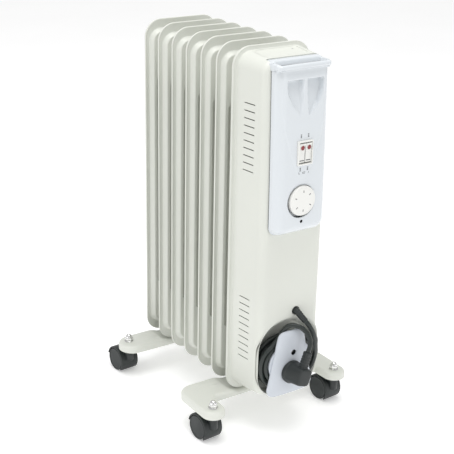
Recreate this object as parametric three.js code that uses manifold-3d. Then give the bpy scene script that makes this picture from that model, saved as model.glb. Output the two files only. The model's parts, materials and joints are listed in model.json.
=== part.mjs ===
// Oil filled radiator heater: a row of seven oil filled steel fins on castor feet, with a
// pressed steel front cover that carries the control panel and the cord winder.
// Millimetres, +Z up. The controls face -Y, the fins are stacked along +Y.

import * as THREE from 'three';
import { mergeVertices } from 'three/addons/utils/BufferGeometryUtils.js';
import Module from 'manifold-3d';

const wasm = await Module();
wasm.setup();

// ---------------------------------------------------------------- driving dimensions

const TOUCH = 0.3; // gap between pieces that touch
const CENTRE_X = -0.46; // middle of the whole width: the turned castors reach further on the left
const FLOOR = 6; // height of the floor in the layout below
const CENTRE_Y = 93.94; // from the front fin's plane to the middle of the whole depth

// fins
const FIN_COUNT = 7;
const FIN_PITCH = 43.8;
const FIN_HALF_WIDTH = 72;
const FIN_BOTTOM = 63;
const FIN_TOP = 643;
const FIN_CORNER = 30;
const FIN_RIM = 1.3; // half thickness of the two welded sheets
const SWELL = 9.5; // how far the oil channels stand proud of the rim plane
const SWELL_SIDE = 7; // width of the flat rim at the sides
const SWELL_END = 15; // width of the flat rim at the top and bottom
const SWELL_COVERED = 3; // the front fin's rim is this much wider behind the cover
const SWELL_SLOPE = 6;
const WINDOW_LOW = 157;
const WINDOW_HIGH = 549;
const WINDOW_OUT = 53.5;
const WINDOW_IN = 9;
const WINDOW_CHAMFER = 9;
const COLLAR_RADIUS = 27;
const LOWER_HEADER_Z = 123;
const UPPER_HEADER_Z = 583;
const ELEMENT_BORE = 15;

// front cover
const SHEET = 1.3;
const COVER_HALF_WIDTH = 65.8;
const COVER_TOP = 636.5;
const COVER_BOTTOM = 73;
const COVER_CORNER = 25;
const COVER_DRAFT = 4.8;
const COVER_DEPTH = 73;
const COVER_ROUND = 13;
const COVER_BACK = 3.6; // front plane of the cover's flange
const LEAN_START = 370; // above this height the front leans back a little
const LEAN_SHARE = 0.08;
const LEAN_POWER = 1.4;
const SLIT_LENGTH = 25;
const SLIT_HEIGHT = 1.8;
const SLIT_PITCH = 11.7;
const SLIT_COUNT = 10;
const SLIT_GROUPS = [458, 140]; // height of the lowest slit of each group
const SLIT_Y = -35;

// control panel
const PANEL_HALF_WIDTH = 50;
const PANEL_BOTTOM = 361;
const PANEL_TOP = 632;
const PANEL_DEPTH = 92;
const PANEL_ROUND = 17;
const PANEL_WALL = 2.6;
const NOTCH_HALF_WIDTH = 47;
const NOTCH_BACK = -50.5;
const NOTCH_BOTTOM = 607;
const SWITCH_X = 0.8;
const SWITCH_Z = 492.5;
const ROCKER_SPREAD = 6;
const DIAL_Z = 416;
const DIAL_RADIUS = 24.6;
const DIAL_RECESS = 26.4;
const SHAFT_RADIUS = 3;
const PANEL_SCREW_Z = 382;

// cord winder and cord
const POCKET_FLOOR = -48;
const WINDER_X = -1;
const WINDER_Z = 134;
const HUB_RADIUS = 41;
const WINDER_OVAL = 0.86; // height of the hub and of the winding as a share of their width
const HUB_WALL = 2.5;
const PLATE_BACK = -81;
const PLATE_EDGE = -84;
const WINDER_SCREW_Z = 154;
const CORD_RADIUS = 4;
const COIL_OUTER = 56.8;
const EXIT = [12, 220];
const PLUG_X = -4;
const PLUG_Z = 121;
const PLUG_TURN = THREE.MathUtils.degToRad(18); // the neck leans this far to the right
const PIN_SPREAD = 9.5;

// feet and castors
const NUT_X = 125.3;
const FRONT_NUT_Y = -43.6;
const REAR_NUT_Y = 237.3;
const FOOT_TOP = 68;
const FOOT_SKIRT = 10;
const FOOT_SHEET = 2;
const UNDER_FINS = 62.4; // top of a foot where it passes under the fins
const WHEEL_RADIUS = 20.7;
const WHEEL_WIDTH = 13.5;
const WHEEL_OFFSET = 10.6;
const TRAIL = 21;
const TRAIL_TURN = THREE.MathUtils.degToRad(4);
const AXLE_RADIUS = 2.4;
const STEM_RADIUS = 4;

const paint = new THREE.MeshStandardMaterial({ color: 0xe4e6e0, roughness: 0.42, metalness: 0.0 });
const panelPlastic = new THREE.MeshStandardMaterial({ color: 0xdee4e9, roughness: 0.35, metalness: 0.0 });
const winderPlastic = new THREE.MeshStandardMaterial({ color: 0xc9ccd2, roughness: 0.4, metalness: 0.0 });
const white = new THREE.MeshStandardMaterial({ color: 0xf0f0ec, roughness: 0.35, metalness: 0.0 });
const red = new THREE.MeshStandardMaterial({ color: 0xa01018, roughness: 0.25, metalness: 0.0 });
const black = new THREE.MeshStandardMaterial({ color: 0x2b2f2f, roughness: 0.5, metalness: 0.0 });
const chrome = new THREE.MeshStandardMaterial({ color: 0xd8d8d8, roughness: 0.12, metalness: 1.0 });
const steel = new THREE.MeshStandardMaterial({ color: 0x9a9c9e, roughness: 0.35, metalness: 1.0 });
const brass = new THREE.MeshStandardMaterial({ color: 0xc8a050, roughness: 0.35, metalness: 1.0 });
const ceramic = new THREE.MeshStandardMaterial({ color: 0xe8e2d4, roughness: 0.6, metalness: 0.0 });

const model = new THREE.Group();
const heater = new THREE.Group();
heater.position.set(-CENTRE_X, -CENTRE_Y, -FLOOR);
model.add(heater);

// ---------------------------------------------------------------- shape helpers

function toSolid(geometry) {
  const bare = geometry.index ? geometry.clone() : geometry;
  bare.deleteAttribute('normal');
  bare.deleteAttribute('uv');
  const merged = mergeVertices(bare, 1e-4);
  const mesh = new wasm.Mesh({
    numProp: 3,
    vertProperties: new Float32Array(merged.attributes.position.array),
    triVerts: new Uint32Array(merged.index.array),
  });
  return new wasm.Manifold(mesh);
}

function toGeometry(solid) {
  const mesh = solid.getMesh();
  const geometry = new THREE.BufferGeometry();
  geometry.setAttribute('position', new THREE.BufferAttribute(new Float32Array(mesh.vertProperties), 3));
  geometry.setIndex(new THREE.BufferAttribute(new Uint32Array(mesh.triVerts), 1));
  geometry.computeVertexNormals();
  return geometry;
}

function piece(name, solid, material, parent = heater) {
  const geometry = solid.isBufferGeometry ? solid : toGeometry(solid);
  const mesh = new THREE.Mesh(geometry, material);
  mesh.name = name;
  parent.add(mesh);
  return mesh;
}

function joined(solids) {
  return solids.reduce((all, next) => all.add(next));
}

// A box from its low to its high corner.
function box(low, high) {
  const geometry = new THREE.BoxGeometry(high[0] - low[0], high[1] - low[1], high[2] - low[2]);
  geometry.translate((low[0] + high[0]) / 2, (low[1] + high[1]) / 2, (low[2] + high[2]) / 2);
  return toSolid(geometry);
}

// A straight round bar or cone between two points.
function bar(from, to, radius, sides = 16, endRadius = radius) {
  const start = new THREE.Vector3(...from);
  const end = new THREE.Vector3(...to);
  const along = end.clone().sub(start);
  const geometry = new THREE.CylinderGeometry(endRadius, radius, along.length(), sides);
  geometry.translate(0, along.length() / 2, 0);
  const turn = new THREE.Quaternion().setFromUnitVectors(new THREE.Vector3(0, 1, 0), along.normalize());
  geometry.applyQuaternion(turn);
  geometry.translate(start.x, start.y, start.z);
  return toSolid(geometry);
}

// A round bar along Y, centred on (x, z).
function pinY(x, z, back, front, radius, sides = 16, frontRadius = radius) {
  return bar([x, back, z], [x, front, z], radius, sides, frontRadius);
}

function arc(x, y, radius, fromDeg, toDeg, steps) {
  const points = [];
  for (let i = 0; i <= steps; i += 1) {
    const angle = THREE.MathUtils.degToRad(fromDeg + ((toDeg - fromDeg) * i) / steps);
    points.push([x + radius * Math.cos(angle), y + radius * Math.sin(angle)]);
  }
  return points;
}

function outline(points) {
  return new THREE.Shape(points.map((p) => new THREE.Vector2(p[0], p[1])));
}

// An outline in X and Z, given depth along Y from back to front.
function slabY(points, back, front) {
  const geometry = new THREE.ExtrudeGeometry(outline(points), { depth: back - front, bevelEnabled: false });
  geometry.rotateX(Math.PI / 2);
  geometry.translate(0, back, 0);
  return toSolid(geometry);
}

// An outline in X and Y, given height along Z.
function slabZ(points, low, high) {
  const geometry = new THREE.ExtrudeGeometry(outline(points), { depth: high - low, bevelEnabled: false });
  geometry.translate(0, 0, low);
  return toSolid(geometry);
}

// An outline in Y and Z, given width along X.
function slabX(points, low, high) {
  const geometry = new THREE.ExtrudeGeometry(outline(points), { depth: high - low, bevelEnabled: false });
  geometry.rotateZ(Math.PI / 2);
  geometry.rotateY(Math.PI / 2);
  geometry.translate(low, 0, 0);
  return toSolid(geometry);
}

function mirrored(half) {
  return half.concat(half.map(([x, z]) => [-x, z]).reverse());
}

// The right half of a round-cornered upright outline, from its bottom to its top.
function uprightHalf(halfWidth, low, high, lowRadius, highRadius, steps, heights = []) {
  const right = arc(halfWidth - lowRadius, low + lowRadius, lowRadius, -90, 0, steps);
  const left = arc(halfWidth - highRadius, high - highRadius, highRadius, 0, 90, steps);
  return right.concat(heights.map((z) => [halfWidth, z]), left);
}

// The front leans back above LEAN_START, more and more towards the top.
function lean(y, z) {
  const up = THREE.MathUtils.clamp((z - LEAN_START) / (COVER_TOP - LEAN_START), 0, 1);
  return y * (1 - LEAN_SHARE * up ** LEAN_POWER);
}

// A solid through half outlines at given Y, mirrored about X = 0, from the back to the front.
function loft(levels, bend = lean) {
  const count = levels[0].half.length * 2;
  const positions = [];
  const triangles = [];
  levels.forEach(({ half, y }) => {
    mirrored(half).forEach(([x, z]) => positions.push(x, bend(y, z), z));
  });
  for (let level = 0; level + 1 < levels.length; level += 1) {
    for (let i = 0; i < count; i += 1) {
      const a = level * count + i;
      const b = level * count + ((i + 1) % count);
      triangles.push(a, b, b + count, a, b + count, a + count);
    }
  }
  const last = (levels.length - 1) * count;
  for (let i = 0; i + 1 < count / 2; i += 1) {
    const back = [i, i + 1, count - 2 - i, count - 1 - i];
    const front = back.map((index) => last + index);
    triangles.push(front[0], front[1], front[2], front[0], front[2], front[3]);
    triangles.push(back[0], back[2], back[1], back[0], back[3], back[2]);
  }
  const geometry = new THREE.BufferGeometry();
  geometry.setAttribute('position', new THREE.Float32BufferAttribute(positions, 3));
  geometry.setIndex(triangles);
  return toSolid(geometry);
}

// ---------------------------------------------------------------- fins

function finY(number) {
  return (FIN_COUNT - number) * FIN_PITCH;
}

// One face's oil channels: a rim-shaped swelling with two sunk windows between the channels.
function swelling(more) {
  const flat = (y) => y;
  const level = (inset, y) => ({
    half: uprightHalf(
      FIN_HALF_WIDTH - SWELL_SIDE - more - inset,
      FIN_BOTTOM + SWELL_END + more + inset,
      FIN_TOP - SWELL_END - more - inset,
      20 - inset,
      20 - inset,
      3,
    ),
    y,
  });
  const body = loft([level(0, 0), level(0, -FIN_RIM), level(2.5, -SWELL * 0.75), level(SWELL_SLOPE, -SWELL)], flat);
  const windows = [1, -1].map((side) => {
    const wall = 4;
    const ring = (grow) => {
      const out = WINDOW_OUT + grow - wall;
      const inner = WINDOW_IN - grow + wall;
      const low = WINDOW_LOW - grow + wall;
      const high = WINDOW_HIGH + grow - wall;
      const cut = WINDOW_CHAMFER;
      return [
        [inner + cut, low], [out - cut, low], [out, low + cut], [out, high - cut],
        [out - cut, high], [inner + cut, high], [inner, high - cut], [inner, low + cut],
      ].map(([x, z]) => [x * side, z]);
    };
    return prism(ring(0), -FIN_RIM, ring(wall), -SWELL - 1);
  });
  return windows.reduce((all, window) => all.subtract(window), body);
}

// A solid between two convex outlines with the same number of points, in planes of constant Y.
function prism(backRing, backY, frontRing, frontY) {
  const ordered = THREE.ShapeUtils.area(backRing.map((p) => new THREE.Vector2(p[0], p[1]))) > 0;
  const back = ordered ? backRing : backRing.slice().reverse();
  const front = ordered ? frontRing : frontRing.slice().reverse();
  const count = back.length;
  const positions = [];
  back.forEach(([x, z]) => positions.push(x, backY, z));
  front.forEach(([x, z]) => positions.push(x, frontY, z));
  const triangles = [];
  for (let i = 0; i < count; i += 1) {
    const next = (i + 1) % count;
    triangles.push(i, next, next + count, i, next + count, i + count);
  }
  for (let i = 1; i + 1 < count; i += 1) {
    triangles.push(count, count + i, count + i + 1, 0, i + 1, i);
  }
  const geometry = new THREE.BufferGeometry();
  geometry.setAttribute('position', new THREE.Float32BufferAttribute(positions, 3));
  geometry.setIndex(triangles);
  return toSolid(geometry);
}

function fin(front, rear, number) {
  const rim = mirrored(uprightHalf(FIN_HALF_WIDTH, FIN_BOTTOM, FIN_TOP, FIN_CORNER, FIN_CORNER, 5));
  const sheets = slabY(rim, FIN_RIM, -FIN_RIM);
  const reach = FIN_PITCH / 2 - TOUCH / 2;
  const first = number === 1;
  const last = number === FIN_COUNT;
  const collars = [LOWER_HEADER_Z, UPPER_HEADER_Z].flatMap((z) => [
    pinY(0, z, first ? SWELL + 2 : reach, 0, first ? 18 : COLLAR_RADIUS, 16),
    pinY(0, z, 0, last ? -SWELL - 2 : -reach, last ? 20 : COLLAR_RADIUS, 16),
  ]);
  const body = joined([sheets, front, rear, ...collars]);
  const bore = pinY(0, LOWER_HEADER_Z, first ? 4 : reach + 1, -reach - 1, ELEMENT_BORE, 16);
  return body.subtract(bore);
}

function fins() {
  const face = swelling(0);
  const covered = swelling(SWELL_COVERED);
  const rear = face.mirror([0, 1, 0]);
  for (let number = 1; number <= FIN_COUNT; number += 1) {
    const front = number === FIN_COUNT ? covered : face;
    const mesh = piece(`fin_${number}`, fin(front, rear, number), paint);
    mesh.position.y = finY(number);
  }
  const back = finY(1) + SWELL + 2 + TOUCH;
  const plug = pinY(0, UPPER_HEADER_Z, back + 5, back, 6.5, 6);
  piece('oil_filler_plug', plug, steel);
}

// ---------------------------------------------------------------- front cover

const LEAN_HEIGHTS = [LEAN_START, 430, 490, 550];

// The cover's outside, grown by a margin, through to its round front edges.
function coverBody(grow, back) {
  const level = (inset, y) => ({
    half: uprightHalf(
      COVER_HALF_WIDTH + grow - inset,
      COVER_BOTTOM - grow + inset,
      COVER_TOP + grow - inset,
      COVER_CORNER + grow - inset,
      COVER_CORNER + grow - inset,
      5,
      LEAN_HEIGHTS,
    ),
    y,
  });
  const radius = COVER_ROUND + grow;
  const straight = -(COVER_DEPTH - COVER_ROUND);
  const levels = [level(0, back), level(COVER_DRAFT, straight)];
  [30, 60, 90].forEach((degrees) => {
    const angle = THREE.MathUtils.degToRad(degrees);
    const inset = COVER_DRAFT + radius * (1 - Math.cos(angle));
    levels.push(level(inset, straight - radius * Math.sin(angle)));
  });
  return loft(levels);
}

// The recess for the wound cord, grown by a margin: sloping walls down to a flat floor.
function pocket(grow) {
  const level = (halfWidth, low, high, lowRadius, highRadius, y) => ({
    half: uprightHalf(
      halfWidth + grow, low - grow, high + grow, lowRadius + grow, highRadius + grow, 6,
    ),
    y,
  });
  return loft(
    [
      level(58.2, 76.4, 193, 42, 52, POCKET_FLOOR + grow),
      level(58.4, 76.2, 196, 42, 52, -58),
      level(58.6, 76, 209, 42, 50, -COVER_DEPTH - 3),
    ],
    (y) => y,
  );
}

function louvres() {
  const cuts = [];
  [-1, 1].forEach((side) => {
    SLIT_GROUPS.forEach((lowest) => {
      for (let i = 0; i < SLIT_COUNT; i += 1) {
        const z = lowest + i * SLIT_PITCH;
        const x = side * 64;
        const low = [x - 5, SLIT_Y - SLIT_LENGTH / 2, z - SLIT_HEIGHT / 2];
        const high = [x + 5, SLIT_Y + SLIT_LENGTH / 2, z + SLIT_HEIGHT / 2];
        cuts.push(box(low, high));
      }
    });
  });
  return cuts;
}

function notch(margin) {
  const half = NOTCH_HALF_WIDTH + margin;
  return box([-half, -COVER_DEPTH - 10, NOTCH_BOTTOM - margin], [half, NOTCH_BACK + margin, COVER_TOP + 5]);
}

function frontCover() {
  const outside = coverBody(0, -COVER_BACK + SHEET);
  const inside = coverBody(-SHEET, 2);
  const rim = mirrored(uprightHalf(FIN_HALF_WIDTH, FIN_BOTTOM, FIN_TOP, FIN_CORNER, FIN_CORNER, 6));
  const flange = slabY(rim, -COVER_BACK + 2, -COVER_BACK);
  const tray = box([-40, -46, COVER_TOP - 6], [40, -8, COVER_TOP - 3.4]);
  let shell = outside.add(flange).subtract(inside);
  shell = shell.add(tray.add(pocket(SHEET)).intersect(outside));
  shell = shell.subtract(pocket(0));
  shell = shell.subtract(box([-38, -44, COVER_TOP - 4.6], [38, -10, COVER_TOP + 5]));
  shell = shell.subtract(notch(TOUCH));
  const holes = [
    box([-14.5, -80, SWITCH_Z - 17], [14.5, -60, SWITCH_Z + 17]),
    pinY(0, DIAL_Z, -60, -80, 6, 16),
    pinY(0, PANEL_SCREW_Z, -60, -80, 1.3, 8),
    pinY(EXIT[0], EXIT[1], -60, -80, 7.4, 16),
    pinY(0, WINDER_SCREW_Z, -40, -60, 1.3, 8),
  ];
  const cut = joined(louvres().concat(holes));
  piece('front_cover', shell.subtract(cut), paint);
}

// ---------------------------------------------------------------- control panel

function panelBody(grow) {
  const level = (inset, y) => ({
    half: uprightHalf(
      PANEL_HALF_WIDTH + grow - inset,
      PANEL_BOTTOM - grow + inset,
      PANEL_TOP + grow,
      Math.max(12 + grow - inset, 1),
      3,
      4,
      [LEAN_START + 20, 430, 490, 550, 606],
    ),
    y,
  });
  const radius = PANEL_ROUND;
  const straight = -(PANEL_DEPTH - radius);
  const levels = [level(0, NOTCH_BACK - TOUCH), level(0, straight)];
  [25, 50, 75].forEach((degrees) => {
    const angle = THREE.MathUtils.degToRad(degrees);
    levels.push(level(radius * (1 - Math.cos(angle)), straight - (radius + grow) * Math.sin(angle)));
  });
  levels.push(level(radius, straight - radius - grow));
  return loft(levels);
}

function controlPanel() {
  const metal = coverBody(TOUCH, 0).subtract(notch(0));
  let body = panelBody(0);
  // the rolled lip along the front of the top
  const lipOuter = panelBody(2.6).intersect(box([-60, -110, 621.5], [60, -64, 628.5]));
  body = body.add(lipOuter).subtract(metal);
  const inner = PANEL_HALF_WIDTH - PANEL_WALL;
  const hollow = panelBody(-PANEL_WALL).intersect(box([-inner, -100, 300], [inner, -55, 606]));
  const cupHollow = box([-43, -83, 600], [43, -54, 614]);
  const backHollow = box([-43, -63, 600], [43, -54, 628]);
  const trough = slabX([[-66, 640], [-66, 624], [-69, 618.5], [-80, 618.5], [-84, 624], [-84, 640]], -40, 40);
  const lipCut = box([-60, -110, 628.5], [60, -83.9, 640]);
  const boss = pinY(0, PANEL_SCREW_Z, -COVER_DEPTH - TOUCH, -PANEL_DEPTH + 2, 5.5, 16);
  const dialCup = pinY(0, DIAL_Z, -COVER_DEPTH - TOUCH - 3, -PANEL_DEPTH + 2, DIAL_RECESS + 2.2, 32);
  body = body.subtract(hollow).subtract(cupHollow).subtract(backHollow);
  body = body.add(boss).add(dialCup);
  body = body.subtract(trough).subtract(lipCut);
  body = body.subtract(pinY(0, DIAL_Z, -COVER_DEPTH - 9.7, -110, DIAL_RECESS, 32));
  body = body.subtract(pinY(0, DIAL_Z, -60, -110, 5, 16));
  body = body.subtract(pinY(0, PANEL_SCREW_Z, -60, -110, 1.9, 12));
  body = body.subtract(pinY(0, PANEL_SCREW_Z, -PANEL_DEPTH + 7, -110, 3, 16));
  body = body.subtract(box([SWITCH_X - 14.3, -110, SWITCH_Z - 19.3], [SWITCH_X + 14.3, -74, SWITCH_Z + 19.3]));
  piece('control_panel', body, panelPlastic);
}

function switches() {
  const low = SWITCH_Z - 19;
  const high = SWITCH_Z + 19;
  const frame = box([SWITCH_X - 14, -93.5, low], [SWITCH_X + 14, -82, high]);
  const opening = box([SWITCH_X - 12.2, -100, low + 1.8], [SWITCH_X + 12.2, -70, high - 1.8]);
  piece('switch_bezel', frame.subtract(opening), white);
  const block = box([-13.8, -79.4, SWITCH_Z - 16], [13.8, -58, SWITCH_Z + 16]);
  const tabs = [-9, -3, 3, 9].map((x) => box([x - 1, -58.1, SWITCH_Z - 8], [x + 1, -50, SWITCH_Z - 3]));
  piece('switch_block', joined([block, ...tabs]), black);
  [['left', -1], ['right', 1]].forEach(([side, sign]) => {
    const x = SWITCH_X + sign * ROCKER_SPREAD;
    const profile = [
      [-83, SWITCH_Z - 13], [-90.5, SWITCH_Z - 15.6], [-91.6, SWITCH_Z - 15.4], [-92.2, SWITCH_Z],
      [-95.2, SWITCH_Z + 14.6], [-94.2, SWITCH_Z + 15.2], [-83, SWITCH_Z + 13],
    ];
    const rocker = slabX(profile, x - 5.6, x + 5.6);
    const seat = pinY(x, SWITCH_Z + 8.5, -90, -100, 3.4, 12);
    piece(`rocker_${side}`, rocker.subtract(seat), white);
    piece(`lens_${side}`, pinY(x, SWITCH_Z + 8.5, -90.3, -94.6, 3.1, 12, 2.7), red);
  });
}

function thermostat() {
  const wall = lean(-COVER_DEPTH, DIAL_Z) + SHEET;
  const body = box([-16, wall + 0.4, DIAL_Z - 18], [16, wall + 22, DIAL_Z + 18]);
  const neck = pinY(0, DIAL_Z, wall + 1, wall - 3.5, 5.4, 16);
  const bore = pinY(0, DIAL_Z, wall + 10, -90, SHAFT_RADIUS + 0.25, 16);
  const tabs = [-8, 8].map((x) => box([x - 3, wall + 21.9, DIAL_Z + 6], [x + 3, wall + 30, DIAL_Z + 7]));
  piece('thermostat', joined([body, neck, ...tabs]).subtract(bore), steel);
  piece('thermostat_shaft', pinY(0, DIAL_Z, wall + 9.5, -89.7, SHAFT_RADIUS, 16), brass);
  const back = -COVER_DEPTH - 10.6;
  const knob = pinY(0, DIAL_Z, back, -93, DIAL_RADIUS, 32, DIAL_RADIUS - 0.6);
  const face = pinY(0, DIAL_Z, -92.9, -94.6, DIAL_RADIUS - 0.8, 32, DIAL_RADIUS - 2.6);
  const socket = pinY(0, DIAL_Z, back + 1, -90, SHAFT_RADIUS + TOUCH, 16);
  piece('dial', joined([knob, face]).subtract(socket), white);
}

function screwY(name, x, z, seat, tip, headRadius) {
  const head = pinY(x, z, seat, seat - 2.2, headRadius, 16, headRadius - 0.7);
  const slotA = box([x - 1.8, seat - 3, z - 0.4], [x + 1.8, seat - 1.2, z + 0.4]);
  const slotB = box([x - 0.4, seat - 3, z - 1.8], [x + 0.4, seat - 1.2, z + 1.8]);
  const shank = pinY(x, z, tip, seat - 0.1, 1.1, 8);
  piece(name, head.add(shank).subtract(slotA.add(slotB)), steel);
}

// ---------------------------------------------------------------- cord winder, cord and plug

function plateHalf(inset) {
  const low = 79 + inset;
  const high = 192 - inset;
  return [
    ...arc(44.5 - 17, low + 17 - inset, 17 - inset, -90, 0, 4).map(([x, z]) => [x, Math.max(z, low)]),
    [40.8 - inset, 128],
    [32 - inset, 160],
    ...arc(26.5 - 12, high - 10, 12 - inset * 0.5, 20, 90, 3).map(([x, z]) => [x, Math.min(z, high)]),
  ];
}

function winder() {
  const plate = loft(
    [
      { half: plateHalf(0), y: PLATE_BACK },
      { half: plateHalf(0), y: PLATE_EDGE },
      { half: plateHalf(2), y: PLATE_EDGE - 2 },
      { half: plateHalf(7), y: PLATE_EDGE - 3.8 },
    ],
    (y) => y,
  ).translate([WINDER_X - 2, 0, 0]);
  const hub = oval(pinY(0, 0, POCKET_FLOOR - TOUCH, PLATE_BACK - 0.5, HUB_RADIUS, 32));
  const hollow = oval(pinY(0, 0, POCKET_FLOOR + 2, PLATE_BACK, HUB_RADIUS - HUB_WALL, 32));
  const post = pinY(0, WINDER_SCREW_Z, POCKET_FLOOR - TOUCH, PLATE_BACK - 0.5, 7, 16);
  const well = pinY(0, WINDER_SCREW_Z, PLATE_BACK + 3, -100, 4.6, 16);
  const hole = pinY(0, WINDER_SCREW_Z, -40, -100, 1.6, 12);
  const pins = [-1, 1].map((side) => {
    const [x, z] = pinPlace(side);
    return pinY(x, z, -60, -100, 3, 12);
  });
  const body = plate.add(hub.subtract(hollow)).add(post);
  piece('cord_winder', body.subtract(joined([well, hole, ...pins])), winderPlastic);
  screwY('winder_screw', 0, WINDER_SCREW_Z, PLATE_BACK + 2.7, -43, 3.8);
}

// A round body at the origin made oval and set at the middle of the winder.
function oval(body) {
  return body.scale([1, 1, WINDER_OVAL]).translate([WINDER_X, 0, WINDER_Z]);
}

function pinPlace(side) {
  return [
    PLUG_X + side * PIN_SPREAD * Math.cos(PLUG_TURN),
    PLUG_Z - side * PIN_SPREAD * Math.sin(PLUG_TURN),
  ];
}

function plug() {
  const face = PLATE_EDGE - 4.2;
  const disc = pinY(0, 0, face, face - 7, 19.5, 28);
  const round = arc(0, 0, 18.5, 0, 360, 20).slice(0, 20);
  const square = round.map(([x, z]) => [
    THREE.MathUtils.clamp(x * 1.25, -13, 13),
    THREE.MathUtils.clamp(z * 1.25, -12, 17),
  ]);
  const body = prism(round, face - 6.9, square, face - 36);
  const neck = box([-6.5, face - 32, 10], [6.5, face - 18, 43]);
  const whole = joined([disc, body, neck]);
  const holes = [-1, 1].map((side) => pinY(side * PIN_SPREAD, 0, 0, face - 12, 2.75, 12));
  const turn = THREE.MathUtils.radToDeg(PLUG_TURN);
  const placed = whole.subtract(joined(holes)).rotate([0, turn, 0]).translate([PLUG_X, 0, PLUG_Z]);
  piece('plug_body', placed, black);
  [['left', -1], ['right', 1]].forEach(([name, side]) => {
    const [x, z] = pinPlace(side);
    piece(`plug_pin_${name}`, pinY(x, z, face + 19, face - 11.7, 2.4, 12), steel);
  });
}

const LEAD_ROUTE = [
  [19, -92, 206], [20.5, -94, 203.5], [23, -97, 198.5], [26, -99, 192.5], [29, -100, 186],
  [32, -99.5, 180], [35.5, -98, 174], [38, -96, 168], [40, -93.5, 162], [42.5, -91, 155.5],
  [45, -88.5, 149.5], [47.5, -86, 144],
];
const TAIL_ROUTE = [
  [-5, -80.5, 200], [5.5, -88.5, 199.5], [12, -96, 195], [15.5, -103.5, 187.5],
  [15.5, -109.5, 178], [13, -112.5, 169.5], [10.5, -113, 164.5],
];

function tube(points) {
  const path = new THREE.CatmullRomCurve3(points.map((p) => new THREE.Vector3(...p)));
  const section = outline(arc(0, 0, CORD_RADIUS, 0, 360, 10).slice(0, 10));
  const steps = Math.max(4, Math.round(path.getLength() / 18));
  return toSolid(new THREE.ExtrudeGeometry(section, { steps, extrudePath: path, bevelEnabled: false }));
}

function cord() {
  const [x, z] = EXIT;
  const root = pinY(x, z, -62, -75, 6.6, 16);
  const collar = pinY(x, z, -62, -68.5, 10, 16);
  const sleeve = bar([x, -74, z - 0.2], [18.7, -90.8, 207.2], 6.4, 16, 5);
  piece('cord_boot', joined([root, collar, sleeve]), black);
  piece('cord_lead', tube(LEAD_ROUTE), black);
  const inner = HUB_RADIUS + 0.6;
  const section = [[inner, -49], [inner, -80.6], [COIL_OUTER, -80.6], [COIL_OUTER, -49], [inner, -49]];
  const ring = new THREE.LatheGeometry(section.map((p) => new THREE.Vector2(p[0], p[1])), 32);
  piece('cord_coil', oval(toSolid(ring)), black);
  piece('cord_tail', tube(TAIL_ROUTE), black);
}

// ---------------------------------------------------------------- feet

// The right half outlines of the feet in X and Y.
function frontFootOutline() {
  const lobe = 19.5;
  return mirroredX([
    [0, -12], [92, -12],
    ...arc(95, -22, 10, 90, 0, 3),
    ...arc(NUT_X, FRONT_NUT_Y, lobe, 180, 360, 8),
    ...arc(NUT_X + lobe - 28, 16, 28, 0, 80, 5),
    [60, 44], [0, 44],
  ]);
}

function rearFootOutline() {
  return mirroredX([
    [0, REAR_NUT_Y - 30], [60, REAR_NUT_Y - 30],
    ...arc(NUT_X - 6, REAR_NUT_Y - 4, 25.5, -90, 90, 10),
    [60, REAR_NUT_Y + 22], [0, REAR_NUT_Y + 22],
  ]);
}

function mirroredX(half) {
  const left = half.slice(1, -1).map(([x, y]) => [-x, y]).reverse();
  return half.concat(left);
}

function grown(points, amount) {
  const count = points.length;
  return points.map((p, i) => {
    const before = points[(i + count - 1) % count];
    const after = points[(i + 1) % count];
    const a = new THREE.Vector2(p[0] - before[0], p[1] - before[1]).normalize();
    const b = new THREE.Vector2(after[0] - p[0], after[1] - p[1]).normalize();
    const normal = new THREE.Vector2(a.y + b.y, -a.x - b.x).normalize();
    const spread = amount / Math.max(normal.dot(new THREE.Vector2(a.y, -a.x)), 0.5);
    return [p[0] + normal.x * spread, p[1] + normal.y * spread];
  });
}

// Side view of a foot's top skin: low under the fins, higher at the ends.
function footProfile(drop, bottom) {
  const ends = 160;
  return [
    [-ends, bottom], [ends, bottom], [ends, FOOT_TOP - drop], [72, FOOT_TOP - drop],
    [50, UNDER_FINS - drop], [-50, UNDER_FINS - drop], [-72, FOOT_TOP - drop], [-ends, FOOT_TOP - drop],
  ];
}

function foot(name, points, nutY, slotY) {
  const bottom = FOOT_TOP - FOOT_SKIRT - 3;
  const outside = slabZ(points, bottom - 5, FOOT_TOP + 5).intersect(slabY(footProfile(0, bottom), 300, -100));
  const inside = slabZ(grown(points, -FOOT_SHEET), bottom - 5, FOOT_TOP)
    .intersect(slabY(footProfile(FOOT_SHEET, bottom - 1), 300, -100));
  const holes = [-1, 1].flatMap((side) => [
    bar([side * NUT_X, nutY, 40], [side * NUT_X, nutY, 80], STEM_RADIUS + TOUCH, 16),
    bar([side * 31, slotY, 40], [side * 31, slotY, 80], 3.4, 12),
  ]);
  piece(name, outside.subtract(inside).subtract(joined(holes)), paint);
}

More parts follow.
